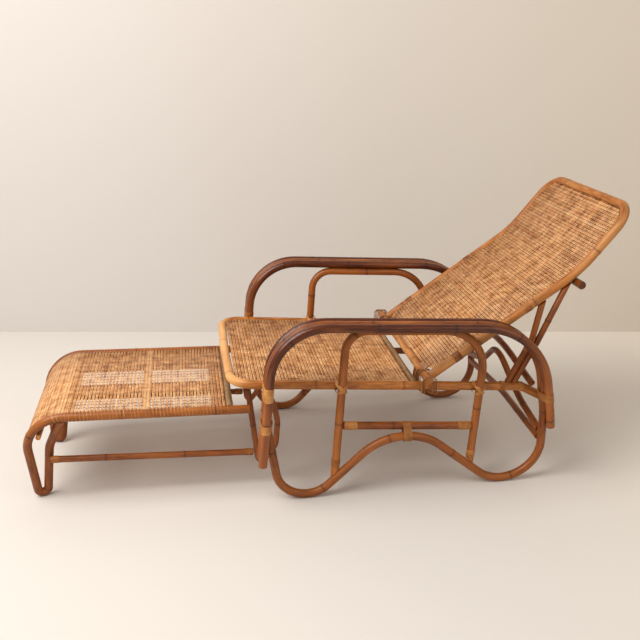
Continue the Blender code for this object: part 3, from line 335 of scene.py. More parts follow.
# Seeds, so that no two canes or strands look alike
SPREAD_STEP, SPREAD_START, SPREAD_SCALE = 12.9898, 4.1, 43758.5453
NAME_SEED = 0.37
STAKE_SEED, WEAVER_SEED = 0.13, 0.29
TIE_SEED, LASH_SEED = 2.0, 3.0
HOOP_SEEDS, STRETCHER_SEEDS = (2.0, 3.0), (4.0, 5.0)
LEG_SEED, BACK_SEED, PROP_SEED = 10, 7, 8.0
BRACE_SEEDS, RAIL_SEED = (11.0, 12.0), 13.0
STRIP_SEED, END_STRIP_SEED = 20.0, 22.0

# Canes: fibres, stain patches and wander as texture scales across, across and along. Vascular
# fibres are 0.4 mm wide, drawn 1.2 mm wide so that they show, and patches are 20 to 60 mm long
POLE_FIBRE = (820.0, 820.0, 14.0)
POLE_PATCH = (60.0, 60.0, 22.0)
POLE_WANDER = (30.0, 30.0, 4.5)
PATCH_RANGE = (0.36, 0.64)
FIBRE_RANGE, FIBRE_SHARE = (0.40, 0.72), 0.75
WEAR_LEVEL, WEAR_UNEVEN = 0.55, 1.3
WEAR_RANGE, WEAR_SHARE = (0.40, 1.0), 0.85
RING_SHARE = 0.7
FIBRE_RELIEF, POLE_RELIEF, POLE_BUMP = 0.7, 0.0004, 0.7
POLE_COAT_ROUGHNESS = 0.14

# Strands: the fibres of a 3 mm strand are 0.3 mm wide, drawn 0.6 mm wide so that they show
STRAND_FIBRE = (1600.0, 1600.0, 45.0)
STRAND_PATCH = 34.0
STRAND_ALONG = (1.0, 1.0, 26.0)
OWN_TONE, ALONG_TONE, FIBRE_TONE = 0.52, 0.45, 0.25
STRAND_DARK, STRAND_MIDDLE, STRAND_PALE = 0.78, 1.06, 1.42
STRAND_RELIEF, STRAND_BUMP = 0.0003, 0.6
STRAND_COAT_ROUGHNESS = 0.30

# Both: the roughness goes up in dull patches and down in shiny ones, under one lacquer
SHINE_RANGE = (0.3, 0.7)
POLE_DULLER, STRAND_DULLER, SHINIER = 0.10, 0.08, 0.06
LACQUER_IOR = 1.50
SPECULAR_LEVEL = 0.30

# Sockets of a colour mix: its two colours and its result
MIX_A, MIX_B, MIX_RESULT = 6, 7, 2

# Room: painted wall and floor, each with the place where its colour turns, paler on the right as painted
# light against the lamp's falloff, and how softly it does
WALL_AWAY = 3.68
WALL_HIGH = 4.0
ROOM_HALF = 6.0
WALL_TURN, WALL_SOFTEN = 0.55, 1.6
FLOOR_TURN, FLOOR_SOFTEN = 1.1, 1.1
GRIT_SCALE, GRIT_RELIEF, GRIT_BUMP = 60.0, 0.0004, 0.2
PAINT_ROUGHNESS = 0.85
ROOM_LIGHT = 0.42

# Lamps: name, place, what they point at, power, side and shade
LAMPS = (
    ("window_light", (-2.3, -1.0, 3.0), (0.1, 0.0, 0.3), 148.0, 2.6, 0xFFFBF6),
    ("fill_light", (2.2, -2.8, 2.2), (0.1, 0.0, 0.4), 26.0, 2.6, 0xFFFBF6),
)

SIDE_NAMES = (("left", -1.0), ("right", 1.0))


def unit(vector):
    """A direction of length one."""
    return vector / np.linalg.norm(vector)


def rounded(corners, radii, closed=False, step=ARC_STEP):
    """A path of straight runs joined by arcs, as points in space."""
    corners = [np.array(c, float) for c in corners]
    count = len(corners)
    turns = range(count) if closed else range(1, count - 1)
    path = [] if closed else [corners[0]]
    for place, i in enumerate(turns):
        before, here, after = corners[i - 1], corners[i], corners[(i + 1) % count]
        back, on = unit(before - here), unit(after - here)
        inner = math.acos(max(-1.0, min(1.0, float(back @ on))))
        turn = math.pi - inner
        if turn < LEAST_TURN:
            path.append(here)
            continue
        radius = radii[place]
        start = here + back * (radius * math.tan(turn / 2))
        centre = here + unit(back + on) * (radius / math.cos(turn / 2))
        first = unit(start - centre)
        fine = 2 * math.acos(1 - ARC_FLAT / max(radius, 2 * ARC_FLAT))
        steps = max(1, math.ceil(turn / min(step, fine)))
        for k in range(steps + 1):
            angle = turn * k / steps
            path.append(centre + radius * (math.cos(angle) * first - math.sin(angle) * back))
    if not closed:
        path.append(corners[-1])
    return path


def leaned(path, outside, lean=LEAN, height=LEAN_HEIGHT, closed=False):
    """Puts a side view on its plane and lets the part under a height lean inwards."""
    made = []
    for a, b in zip(path, path[1:] + path[:1]):
        made.append(a)
        if (a[2] - height) * (b[2] - height) < 0:
            made.append(a + (b - a) * ((height - a[2]) / (b[2] - a[2])))
    if np.linalg.norm(made[-1] - path[-1]) > 0 and not closed:
        made.pop()
    return [np.array((x, outside - lean * max(0.0, height - z), z)) for x, _, z in made]


def side_path(points):
    """A side view's (x, z) corners as points in space."""
    return [(x, 0.0, z) for x, z in points]


def lengths(path):
    """The distance along a path of each of its points."""
    steps = [np.linalg.norm(b - a) for a, b in zip(path, path[1:])]
    return np.concatenate([[0.0], np.cumsum(steps)])


def at_length(path, along, where):
    """The point at a distance along a path, given the distances of its points."""
    i = min(max(int(np.searchsorted(along, where)) - 1, 0), len(path) - 2)
    part = (where - along[i]) / (along[i + 1] - along[i])
    return path[i] + (path[i + 1] - path[i]) * part


def frames(path, closed):
    """Two directions square to the path at each point, turning as little as they can."""
    count = len(path)
    tangents = []
    for i in range(count):
        before = path[i - 1] if closed or i > 0 else path[i]
        after = path[(i + 1) % count] if closed or i < count - 1 else path[i]
        tangents.append(unit(after - before))
    across = np.array((0.0, 1.0, 0.0))
    if abs(tangents[0] @ across) > ALONG_SHARE:
        across = np.array((0.0, 0.0, 1.0))
    made = []
    for tangent in tangents:
        across = unit(across - tangent * (across @ tangent))
        made.append((across, np.cross(tangent, across)))
    return made


def distance_to(points, path):
    """Least distance from each point to a path of straight runs."""
    points = np.array(points)
    best = np.full(len(points), np.inf)
    for a, b in zip(path[:-1], path[1:]):
        run = b - a
        part = np.clip(((points - a) @ run) / (run @ run), 0.0, 1.0)
        best = np.minimum(best, np.linalg.norm(points - (a + part[:, None] * run), axis=1))
    return best


def crossing(point, direction, path):
    """Where a line seen from the side meets a path on its way down, and the path's direction there."""
    best = None
    for a, b in zip(path[:-1], path[1:]):
        run = b - a
        slant = direction[0] * run[2] - direction[2] * run[0]
        if abs(slant) < PARALLEL:
            continue
        offset = a - point
        ahead = (offset[0] * run[2] - offset[2] * run[0]) / slant
        part = (offset[0] * direction[2] - offset[2] * direction[0]) / slant
        if ahead > 0 and 0 <= part <= 1 and (best is None or ahead < best[0]):
            best = (ahead, a + run * part, unit(run))
    return best[1], best[2]


def part_of(path, start, end):
    """The stretch of a path between two distances along it."""
    path = [np.array(p, float) for p in path]
    along = lengths(path)
    inside = [p for p, s in zip(path, along) if start + GAP < s < end - GAP]
    return [at_length(path, along, start)] + inside + [at_length(path, along, end)]


def raised(path, height):
    """A side view moved by a height along its own normal."""
    moved = []
    for i, p in enumerate(path):
        tangent = unit(path[min(i + 1, len(path) - 1)] - path[max(i - 1, 0)])
        moved.append(p + np.array((-tangent[2], 0.0, tangent[0])) * height)
    return moved


def point_below(path, along, drop):
    """A point below a side view: at a distance along it, moved down along its normal."""
    table = lengths(path)
    here = at_length(path, table, along)
    ahead, behind = (at_length(path, table, along + step) for step in (TANGENT_STEP, -TANGENT_STEP))
    tangent = unit(ahead - behind)
    return here - np.array((-tangent[2], 0.0, tangent[0])) * drop


def height_on(path, x):
    """Height of a side view that runs forwards or backwards at a place along X."""
    for a, b in zip(path[:-1], path[1:]):
        if min(a[0], b[0]) <= x <= max(a[0], b[0]):
            return float(a[2] + (b[2] - a[2]) * (x - a[0]) / (b[0] - a[0]))
    return float(path[-1][2])


def across_bar(x, ends_z, corners, radii, half):
    """A symmetric cross bar seen from behind, as a path from the left to the right."""
    left = [(x, -half, ends_z)] + [(x, -y, z) for y, z in corners if y > 0]
    right = [(x, y, z) for y, z in reversed(corners) if y > 0] + [(x, half, ends_z)]
    middle = [(x, 0.0, z) for y, z in corners if y == 0]
    return rounded(left + middle + right, radii)


def trimmed_bar(path, radius, others):
    """Cuts both ends of a cross bar short of the canes that it butts on."""
    first = reach(path[1], path[0], radius, others)
    last = reach(path[-2], path[-1], radius, others)
    return [first] + path[1:-1] + [last]


def mirrored(path, side):
    """A path of the right side as it is (side 1) or on the left (side -1)."""
    return [np.array((p[0], p[1] * side, p[2])) for p in path]


def rail_z(x):
    """Height of the seat rail's centre."""
    return SEAT_FRONT_Z + SEAT_SLOPE * (x - SEAT_FRONT_X)


def arm_x(z, front=True):
    """Side view of the arm canes' straight legs."""
    if front:
        top, foot = (ARM_FRONT_X, ARM_FRONT_Z), ARM_FRONT_FOOT
    else:
        top, foot = (ARM_REAR_X, ARM_REAR_Z), ARM_REAR_FOOT
    return top[0] + (foot[0] - top[0]) * (z - top[1]) / (foot[1] - top[1])


def arm_z(x):
    """Height of the arm's centre on its straight part."""
    slope = (ARM_REAR_Z - ARM_FRONT_Z) / (ARM_REAR_X - ARM_FRONT_X)
    return ARM_FRONT_Z + slope * (x - ARM_FRONT_X)


def lean_y(outside, z):
    """Distance from the middle of a leg cane that leans inwards near the floor."""
    return outside - LEAN * max(0.0, LEAN_HEIGHT - z)


def reach(start, toward, radius, others):
    """Where a cane's end stops just short of other canes, given as (path, radius) pairs."""
    start, toward = np.array(start, float), np.array(toward, float)
    run = toward - start
    total = float(np.linalg.norm(run))
    axis = run / total
    across = unit(np.cross(axis, np.array(ODD_DIRECTION)))
    up = np.cross(axis, across)
    turns = [2 * math.pi * k / REACH_RIM for k in range(REACH_RIM)]
    rim = [np.zeros(3)] + [radius * (math.cos(t) * across + math.sin(t) * up) for t in turns]
    far = 0.0
    for step in (REACH_FAR, REACH_FINE):
        while far + step < total:
            there = [start + axis * (far + step) + r for r in rim]
            if any(distance_to(there, path).min() < other + GAP for path, other in others):
                break
            far += step
    return start + axis * far


def spread(seed):
    """A repeatable number from 0 to 1, so that each strand and knuckle differs a little."""
    return (math.sin(seed * SPREAD_STEP + SPREAD_START) * SPREAD_SCALE) % 1.0


class Gathered:
    """Swept canes and strands gathered into one mesh, with what the materials read on each point:
    grain_at is the place in the cane's own round, tone its wear, its stain, and on the seat rail its painted
    light and shade, ring how near a knuckle is."""

    def __init__(self):
        self.points, self.faces, self.grain, self.tone, self.ring = [], [], [], [], []
        self.count = 0

    def sweep(
            self, path, across, up, wide, thick, sides, closed=False,
            tone=PLAIN_TONE, ring=0.0, seed=0.0, cuts=(None, None)):
        """Carries a round or flat section along a path, with its ends cut to (point, normal) planes."""
        path, across, up = np.array(path, float), np.array(across, float), np.array(up, float)
        rings = len(path)
        wide, thick = np.broadcast_to(wide, rings), np.broadcast_to(thick, rings)
        angle = 2 * math.pi * (np.arange(sides) + 0.5) / sides
        flat_x = wide[:, None] * np.cos(angle)[None, :]
        flat_y = thick[:, None] * np.sin(angle)[None, :]
        points = (
            path[:, None, :] + across[:, None, :] * flat_x[:, :, None]
            + up[:, None, :] * flat_y[:, :, None])
        for cut, k, near in ((cuts[0], 0, 1), (cuts[1], rings - 1, rings - 2)):
            if cut:
                axis = unit(path[k] - path[near])
                points[k] += axis * (((cut[0] - points[k]) @ cut[1]) / (axis @ cut[1]))[:, None]
        steps = np.linalg.norm(np.diff(path, axis=0), axis=1)
        along = np.concatenate([[0.0], np.cumsum(steps)])
        place = np.broadcast_to(along[:, None] + seed, flat_x.shape)
        self.points.append(points.reshape(-1, 3))
        self.grain.append(np.stack([flat_x, flat_y, place], axis=2).reshape(-1, 3))
        self.tone.append(np.repeat(np.broadcast_to(tone, rings), sides))
        self.ring.append(np.repeat(np.broadcast_to(ring, rings), sides))
        self.join_rings(rings, sides, closed)

    def join_rings(self, rings, sides, closed):
        """Faces between the rings just added, and a flat face at each open end."""
        i = np.arange(rings if closed else rings - 1)[:, None]
        k = np.arange(sides)[None, :]
        j, m = (i + 1) % rings, (k + 1) % sides
        base = self.count
        quads = np.stack([
            base + i * sides + k, base + i * sides + m,
            base + j * sides + m, base + j * sides + k], axis=2)
        self.faces.extend(map(tuple, quads.reshape(-1, 4).tolist()))
        if not closed:
            self.faces.append(tuple(base + x for x in reversed(range(sides))))
            self.faces.append(tuple(base + (rings - 1) * sides + x for x in range(sides)))
        self.count += rings * sides

    def piece(self, name, finish, body, slot, nodes=(), sharp=ROUND_SHARP):
        """The gathered mesh as one object that rides on a body and stands for CAD nodes."""
        mesh = bpy.data.meshes.new(name)
        points = np.concatenate(self.points)
        points[:, 0] += SHIFT
        mesh.from_pydata(points.tolist(), [], self.faces)
        place = mesh.attributes.new("grain_at", "FLOAT_VECTOR", "POINT")
        place.data.foreach_set("vector", np.concatenate(self.grain).astype(np.float32).ravel())
        for label, values in (("tone", self.tone), ("ring", self.ring)):
            layer = mesh.attributes.new(label, "FLOAT", "POINT")
            layer.data.foreach_set("value", np.concatenate(values).astype(np.float32))
        mesh.materials.append(finish)
        mesh.shade_smooth()
        mesh.set_sharp_from_angle(angle=math.radians(sharp))
        made = bpy.data.objects.new(name, mesh)
        bpy.context.scene.collection.objects.link(made)
        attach(made, body)
        if nodes:
            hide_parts(*nodes)
        return made


def knuckled(path, radius, seed, closed):
    """Rings of a cane with the raised knuckles that rattan grows, at uneven places along it."""
    path = [np.array(p, float) for p in path]
    if closed:
        path = path + path[:1]
    along = lengths(path)
    total = float(along[-1])
    rings = [(float(s), radius, 0.0) for s in along]
    where = KNUCKLE_FIRST + KNUCKLE_SPREAD * spread(seed)
    count = 0
    while where < total - KNUCKLE_CLEAR:
        low, high = where + KNUCKLE_SHAPE[0][0] - GAP, where + KNUCKLE_SHAPE[-1][0] + GAP
        rings = [r for r in rings if not low < r[0] < high]
        rings += [(where + at, radius + rise, mark) for at, rise, mark in KNUCKLE_SHAPE]
        count += 1
        where += KNUCKLE_APART + KNUCKLE_SPREAD * spread(seed + count)
    rings.sort(key=lambda r: r[0])
    if closed:
        rings = rings[:-1]
    centres = [at_length(path, along, s) for s, _, _ in rings]
    return centres, np.array([r for _, r, _ in rings]), np.array([m for _, _, m in rings])


def cane(
        name, path, radius, finish, body, slot, nodes, closed=False,
        cuts=(None, None), wear_and_light=PLAIN_WEAR):
    """A smooth round cane that stands for CAD nodes. Its tones of wear, and on the seat rail of painted light
    and shade, are given as an axis, places on it and tones there.
    """
    seed = sum(ord(letter) for letter in name) * NAME_SEED
    centres, radii, marks = knuckled(path, radius, seed, closed)
    across, up = zip(*frames(centres, closed))
    axis, places, tones = wear_and_light
    shade = np.interp([p[axis] for p in centres], places, tones)
    made = Gathered()
    made.sweep(centres, across, up, radii, radii, CANE_SIDES, closed, shade, marks, seed, cuts)
    return made.piece(name, finish, body, slot, nodes)


def flat_strand(made, strand, outs, wide, thick, seed, closed=False):
    """A flat strand of cane along points, with its broad side facing out."""
    if closed:
        along = np.roll(strand, -1, axis=0) - np.roll(strand, 1, axis=0)
    else:
        along = np.gradient(strand, axis=0)
    along /= np.linalg.norm(along, axis=1)[:, None]
    outs = outs - along * np.sum(outs * along, axis=1)[:, None]
    outs /= np.linalg.norm(outs, axis=1)[:, None]
    made.sweep(
        strand, np.cross(along, outs), outs, wide * FLAT_CORNER / 2, thick * FLAT_CORNER / 2,
        STRAND_SIDES, closed, spread(seed), 0.0, seed)


def points_on(path, along, s):
    """Points and directions of a path at distances along it, given the distances of its own points."""
    at, ahead, behind = (
        np.stack([np.interp(t, along, path[:, k]) for k in range(3)], axis=1)
        for t in (s, s + TANGENT_STEP, s - TANGENT_STEP))
    tangent = ahead - behind
    return at, tangent / np.linalg.norm(tangent, axis=1)[:, None]


def winding_on(made, path, radius, start, end, seed, pitch=WINDING_PITCH):
    """One flat strand wound as a close spiral on a cane, between two distances along it."""
    path = np.array(path, float)
    along = lengths(list(path))
    turns = max(2, round((end - start) / pitch))
    count = turns * WINDING_STEPS
    centres, tangent = points_on(path, along, np.linspace(start, end, count + 1))
    side = np.array((0.0, 1.0, 0.0)) if abs(tangent[0][1]) < ALONG_SHARE else np.array((0.0, 0.0, 1.0))
    across = side - tangent * (tangent @ side)[:, None]
    across /= np.linalg.norm(across, axis=1)[:, None]
    up = np.cross(tangent, across)
    turn = 2 * math.pi * np.arange(count + 1) / WINDING_STEPS
    out = across * np.cos(turn)[:, None] + up * np.sin(turn)[:, None]
    strand = centres + out * (radius + WINDING_THICK / 2)
    flat_strand(made, strand, out, WINDING_WIDE, WINDING_THICK, seed)


def wound_ends(made, path, radius, inner, side, seeds):
    """Windings at both ends of a straight cane, as far in as a distance from each end."""
    run = float(lengths(path)[-1])
    for (start, end), seed in zip(((WINDING_PITCH, inner), (run - inner, run - WINDING_PITCH)), seeds):
        winding_on(made, path, radius, start, end, side + seed)


def winding_round(made, centre, axis, canes, length, seed):
    """One flat strand wound round several canes side by side: canes are (offset, radius) pairs."""
    centre, axis = np.array(centre, float), unit(np.array(axis, float))
    across = np.array((0.0, 1.0, 0.0))
    across = unit(across - axis * (across @ axis))
    up = np.cross(axis, across)
    flat = [(float(np.array(o) @ across), float(np.array(o) @ up), r) for o, r in canes]
    turns = max(2, round(length / WINDING_PITCH))
    strand, outs = [], []
    count = turns * ROUND_STEPS
    for k in range(count + 1):
        angle = 2 * math.pi * k / ROUND_STEPS
        c, s = math.cos(angle), math.sin(angle)
        x, y, r = max(flat, key=lambda disc: disc[0] * c + disc[1] * s + disc[2])
        out = across * c + up * s
        spot = across * x + up * y + out * (r + WINDING_THICK / 2)
        strand.append(centre + spot + axis * (length * (k / count - 0.5)))
        outs.append(out)
    flat_strand(made, np.array(strand), np.array(outs), WINDING_WIDE, WINDING_THICK, seed)


def cross_winding(made, low, high, along_low, along_high, low_radius, high_radius):
    """Two bands of strand wound corner to corner round a crossing of two canes, drawn tight as an X."""
    low, high = np.array(low, float), np.array(high, float)
    a, b = unit(np.array(along_low, float)), unit(np.array(along_high, float))
    middle = (low + high) / 2
    for place, axis in enumerate((unit(a + b), unit(a - b))):
        side = unit(np.cross(axis, high - low))
        spare = place * WINDING_THICK
        canes = []
        for centre, radius in ((low, low_radius), (high, high_radius)):
            for way in (-1.0, 1.0):
                canes.append((centre - middle + side * (way * radius * ASLANT), radius + spare))
        winding_round(made, middle, axis, canes, CROSS_LONG, LASH_SEED + place)


def cradle_lashing(made, under, over, along_under, along_over, under_radius, over_radius):
    """Strands tied side by side as an X over the pivot bar and a seat rail, clear of the back rail."""
    under, over = np.array(under, float), np.array(over, float)
    a, b = unit(np.array(along_under, float)), unit(np.array(along_over, float))
    n = unit(over - under)
    height = float(np.linalg.norm(over - under))
    skew = float(np.linalg.norm(np.cross(a, b)))
    front = height + over_radius + WINDING_THICK
    back = -(under_radius + WINDING_THICK)
    lift = 2 * WINDING_THICK
    for k in range(CRADLE_STRANDS):
        beside = (k - (CRADLE_STRANDS - 1) / 2) * LASH_PITCH
        reach_a = (over_radius + CRADLE_MARGIN + beside) / skew
        reach_b = (under_radius + STRAP_MARGIN + beside) / skew
        turns = (
            (1, 1, front), (1, 1, back), (1, -1, back), (1, -1, front + lift),
            (-1, 1, front + lift), (-1, 1, back), (-1, -1, back), (-1, -1, front))
        corners = [under + a * (i * reach_a) + b * (j * reach_b) + n * h for i, j, h in turns]
        radii = [min(reach_a, reach_b) * STRAP_TURN] * len(corners)
        path = np.array(rounded(corners, radii, closed=True, step=STRAP_STEP))
        after, before = np.roll(path, -1, axis=0), np.roll(path, 1, axis=0)
        outs = [-unit(q - p) - unit(o - p) for p, q, o in zip(path, after, before)]
        flat_strand(made, path, np.array(outs), LASH_WIDE, WINDING_THICK, LASH_SEED + k, closed=True)


def sampled(line, along, s):
    """Points, directions and normals of a panel's side view at distances along it."""
    at, tangent = points_on(np.array(line), along, s)
    normal = np.stack([-tangent[:, 2], np.zeros(len(s)), tangent[:, 0]], axis=1)
    return at, tangent, normal


def cross_strands(made, line, along, half_at, up_sign, bands):
    """Pairs of strands across a panel, one more between the pairs within the bands. Returns their number."""
    total = float(along[-1])
    places = []
    pairs = 0
    while FIRST_PAIR + pairs * STAKE_PITCH < total - STAKE_PITCH / 3:
        s = FIRST_PAIR + pairs * STAKE_PITCH
        places += [s - STAKE_APART, s + STAKE_APART]
        if any(low < s + STAKE_PITCH / 2 < high for low, high in bands):
            places.append(s + STAKE_PITCH / 2)
        pairs += 1
    at, tangent, normal = sampled(line, along, np.array(places))
    for i, s in enumerate(places):
        half = float(half_at(s)) + STAKE_TUCK
        path = np.repeat(at[i][None, :] + normal[i] * (up_sign * STAKE_PROUD), STAKE_POINTS, axis=0)
        path[:, 1] += np.linspace(-half, half, STAKE_POINTS)
        made.sweep(
            path, np.tile(tangent[i], (STAKE_POINTS, 1)), np.tile(normal[i] * up_sign, (STAKE_POINTS, 1)),
            STAKE_WIDE * FLAT_CORNER / 2, STAKE_THICK * FLAT_CORNER / 2, STRAND_SIDES,
            tone=STAKE_TONE + STAKE_TONE_MORE * spread(i * STAKE_TONE_STEP + STAKE_TONE_START),
            seed=i * STAKE_SEED)
    return pairs


def shade_strips(made, line, along, half_at, up_sign):
    """Strips that lie under the weave along its sides and its ends, where it meets the rails: painted shade,
    a layer that shows in the weave's holes there in place of the shade under the seat.
    """
    total = float(along[-1])
    fine = np.linspace(0.0, total, EDGE_STEPS)
    at, _, normal = sampled(line, along, fine)
    few = slice(None, None, STRIP_EVERY)
    for side in (-1.0, 1.0):
        path = at - normal * (up_sign * STRIP_LOW)
        path[:, 1] = side * np.maximum(half_at(fine) - STRIP_IN, 0.0)
        flat_strand(made, path[few], normal[few] * up_sign, STRIP_WIDE, STAKE_THICK, side + STRIP_SEED)
    for place in (STRIP_END, total - STRIP_END):
        spot, _, facing = sampled(line, along, np.array([place]))
        path = np.repeat(spot - facing * (up_sign * STRIP_LOW), STAKE_POINTS, axis=0)
        path[:, 1] = np.linspace(-1.0, 1.0, STAKE_POINTS) * float(half_at(place))
        outs = np.repeat(facing * up_sign, STAKE_POINTS, axis=0)
        flat_strand(made, path, outs, STRIP_WIDE, STAKE_THICK, END_STRIP_SEED)


def long_strands(made, line, along, half_at, widest, up_sign, windows, pairs):
    """Strands along a panel that go over and under its cross pairs in turn. Within the windows, and
    at the far edge, only every few of them run."""
    total = float(along[-1])
    fine = np.linspace(0.0, total, EDGE_STEPS)
    index = np.arange(-1, 2 * pairs)
    steps = FIRST_PAIR + index * STAKE_PITCH / 2
    rows = int(2 * (widest - EDGE_OPEN) / WEAVER_CLOSE)
    for j in range(rows + 1):
        y = -(rows / 2) * WEAVER_CLOSE + j * WEAVER_CLOSE
        keep = (steps > 0.0) & (steps < total) & (half_at(steps) - EDGE_OPEN / 2 > abs(y))
        if j % RIM_EVERY and y > widest - EDGE_STRIPES:
            continue
        if j % OPEN_EVERY:
            for start, end, low, high in windows:
                if low < y < high:
                    keep &= (steps <= start) | (steps >= end)
        inside = fine[half_at(fine) - EDGE_OPEN / 2 > abs(y)]
        if not len(inside):
            continue
        kept = np.arange(len(steps))[keep]
        for run in np.split(kept, np.where(np.diff(kept) > 1)[0] + 1):
            if len(run) < LEAST_RUN:
                continue
            s = steps[run]
            wave = np.cos(math.pi * index[run] / 2 + math.pi * j) * WEAVER_WAVE
            wave = np.where(np.abs(wave) < WEAVER_WAVE / 2, 0.0, wave)
            if 0.0 < s[0] - inside[0] < STAKE_PITCH * 2:
                s, wave = np.append(inside[0], s), np.append(0.0, wave)
            if 0.0 < inside[-1] - s[-1] < STAKE_PITCH * 2:
                s, wave = np.append(s, inside[-1]), np.append(wave, 0.0)
            at, _, normal = sampled(line, along, s)
            path = at + np.array((0.0, y, 0.0)) + normal * wave[:, None]
            made.sweep(
                path, np.tile(np.array((0.0, 1.0, 0.0)), (len(s), 1)), normal * up_sign,
                WEAVER_WIDE * FLAT_CORNER / 2, WEAVER_THICK * FLAT_CORNER / 2, STRAND_SIDES,
                tone=WEAVER_TONE * spread(j * WEAVER_TONE_STEP + WEAVER_TONE_START), seed=j * WEAVER_SEED)


def woven_panel(name, line, widths, up_sign, body, node, windows=(), bands=()):
    """A panel of woven cane over a side view, as wide at each place along it as widths says.
    windows are (start, end, low, high) along and across it, and bands are stretches along it."""
    along = lengths(line)
    width_s, width_y = [w[0] for w in widths], [w[1] for w in widths]

    def half_at(s):
        return np.interp(s, width_s, width_y)

    made = Gathered()
    pairs = cross_strands(made, line, along, half_at, up_sign, bands)
    # Strips under the edges are painted shade, showing in the holes along the rails
    shade_strips(made, line, along, half_at, up_sign)
    long_strands(made, line, along, half_at, max(width_y), up_sign, windows, pairs)
    return made.piece(name, woven_cane, body, "woven_cane", [node], sharp=STRAND_SHARP)


def linear(shade):
    """An sRGB hex value as the linear colour that Blender works in."""
    parts = [((shade >> place) & 255) / 255 for place in (16, 8, 0)]
    return [p / 12.92 if p <= 0.04045 else ((p + 0.055) / 1.055) ** 2.4 for p in parts] + [1.0]


def add(tree, kind, inputs=None, **settings):
    """A node with its settings, and its inputs linked or set."""
    made = tree.nodes.new(kind)
    for label, value in settings.items():
        setattr(made, label, value)
    for label, value in (inputs or {}).items():
        if isinstance(value, bpy.types.NodeSocket):
            tree.links.new(value, made.inputs[label])
        else:
            made.inputs[label].default_value = value
    return made


def blank(name):
    """A new material, its nodes and its shader."""
    material = bpy.data.materials.new(name)
    material.use_nodes = True
    return material, material.node_tree, material.node_tree.nodes["Principled BSDF"]


def lacquered(shader, coat, coat_roughness):
    """Lacquer or oil over the rattan, as thick and as smooth as said."""
    shader.inputs["IOR"].default_value = LACQUER_IOR
    shader.inputs["Specular IOR Level"].default_value = SPECULAR_LEVEL
    shader.inputs["Coat Weight"].default_value = coat
    shader.inputs["Coat Roughness"].default_value = coat_roughness
    shader.inputs["Coat IOR"].default_value = LACQUER_IOR


def cane_material(name, dark, middle, pale, worn_and_lit_colour, knuckle, roughness, coat):
    """Peeled or skinned rattan pole: fibres run along it, mottled stain, dark rings at its knuckles."""
    material, tree, shader = blank(name)
    grain = add(tree, "ShaderNodeAttribute", attribute_name="grain_at").outputs["Vector"]
    tone = add(tree, "ShaderNodeAttribute", attribute_name="tone").outputs["Fac"]
    ring = add(tree, "ShaderNodeAttribute", attribute_name="ring").outputs["Fac"]
    fibre_at = add(tree, "ShaderNodeMapping", {"Vector": grain, "Scale": POLE_FIBRE}).outputs["Vector"]
    fibre = add(
        tree, "ShaderNodeTexNoise",
        {"Vector": fibre_at, "Scale": 1.0, "Detail": 3.0, "Roughness": 0.6}).outputs["Fac"]
    patch_at = add(tree, "ShaderNodeMapping", {"Vector": grain, "Scale": POLE_PATCH}).outputs["Vector"]
    patch = add(
        tree, "ShaderNodeTexNoise",
        {"Vector": patch_at, "Scale": 1.0, "Detail": 4.0, "Roughness": 0.62}).outputs["Fac"]
    wander_at = add(tree, "ShaderNodeMapping", {"Vector": grain, "Scale": POLE_WANDER}).outputs["Vector"]
    wander = add(
        tree, "ShaderNodeTexNoise", {"Vector": wander_at, "Scale": 1.0, "Detail": 2.0}).outputs["Fac"]
    patch_range = add(
        tree, "ShaderNodeMapRange",
        {"Value": patch, "From Min": PATCH_RANGE[0], "From Max": PATCH_RANGE[1]}).outputs["Result"]
    stained = add(
        tree, "ShaderNodeMix",
        {0: patch_range, MIX_A: linear(dark), MIX_B: linear(middle)}, data_type="RGBA")
    fibre_range = add(
        tree, "ShaderNodeMapRange",
        {"Value": fibre, "From Min": FIBRE_RANGE[0], "From Max": FIBRE_RANGE[1],
         "To Max": FIBRE_SHARE}).outputs["Result"]
    fibred = add(
        tree, "ShaderNodeMix",
        {0: fibre_range, MIX_A: stained.outputs[MIX_RESULT], MIX_B: linear(pale)}, data_type="RGBA")
    # Where hands, heels and the floor rub, the stain wears to a warmer, paler tone. On the seat rail the same
    # tone paints the front paler and the sides darker: painted light and shade
    tone_noise = add(tree, "ShaderNodeMath", {0: wander, 1: WEAR_LEVEL}, operation="SUBTRACT").outputs[0]
    tone_sum = add(
        tree, "ShaderNodeMath",
        {0: tone_noise, 1: WEAR_UNEVEN, 2: tone}, operation="MULTIPLY_ADD").outputs[0]
    rub_and_light_share = add(
        tree, "ShaderNodeMapRange",
        {"Value": tone_sum, "From Min": WEAR_RANGE[0], "From Max": WEAR_RANGE[1],
         "To Max": WEAR_SHARE}).outputs["Result"]
    rub_and_light_mix = add(
        tree, "ShaderNodeMix",
        {0: rub_and_light_share, MIX_A: fibred.outputs[MIX_RESULT], MIX_B: linear(worn_and_lit_colour)}, data_type="RGBA")
    ring_share = add(tree, "ShaderNodeMath", {0: ring, 1: RING_SHARE}, operation="MULTIPLY").outputs[0]
    ringed = add(
        tree, "ShaderNodeMix",
        {0: ring_share, MIX_A: rub_and_light_mix.outputs[MIX_RESULT], MIX_B: linear(knuckle)}, data_type="RGBA")
    tree.links.new(ringed.outputs[MIX_RESULT], shader.inputs["Base Color"])
    shine = add(
        tree, "ShaderNodeMapRange",
        {"Value": patch, "From Min": SHINE_RANGE[0], "From Max": SHINE_RANGE[1],
         "To Min": roughness + POLE_DULLER, "To Max": roughness - SHINIER})
    tree.links.new(shine.outputs["Result"], shader.inputs["Roughness"])
    relief = add(
        tree, "ShaderNodeMath", {0: fibre, 1: FIBRE_RELIEF, 2: patch}, operation="MULTIPLY_ADD").outputs[0]
    bump = add(
        tree, "ShaderNodeBump", {"Height": relief, "Distance": POLE_RELIEF, "Strength": POLE_BUMP})
    tree.links.new(bump.outputs["Normal"], shader.inputs["Normal"])
    lacquered(shader, coat, POLE_COAT_ROUGHNESS)
    return material


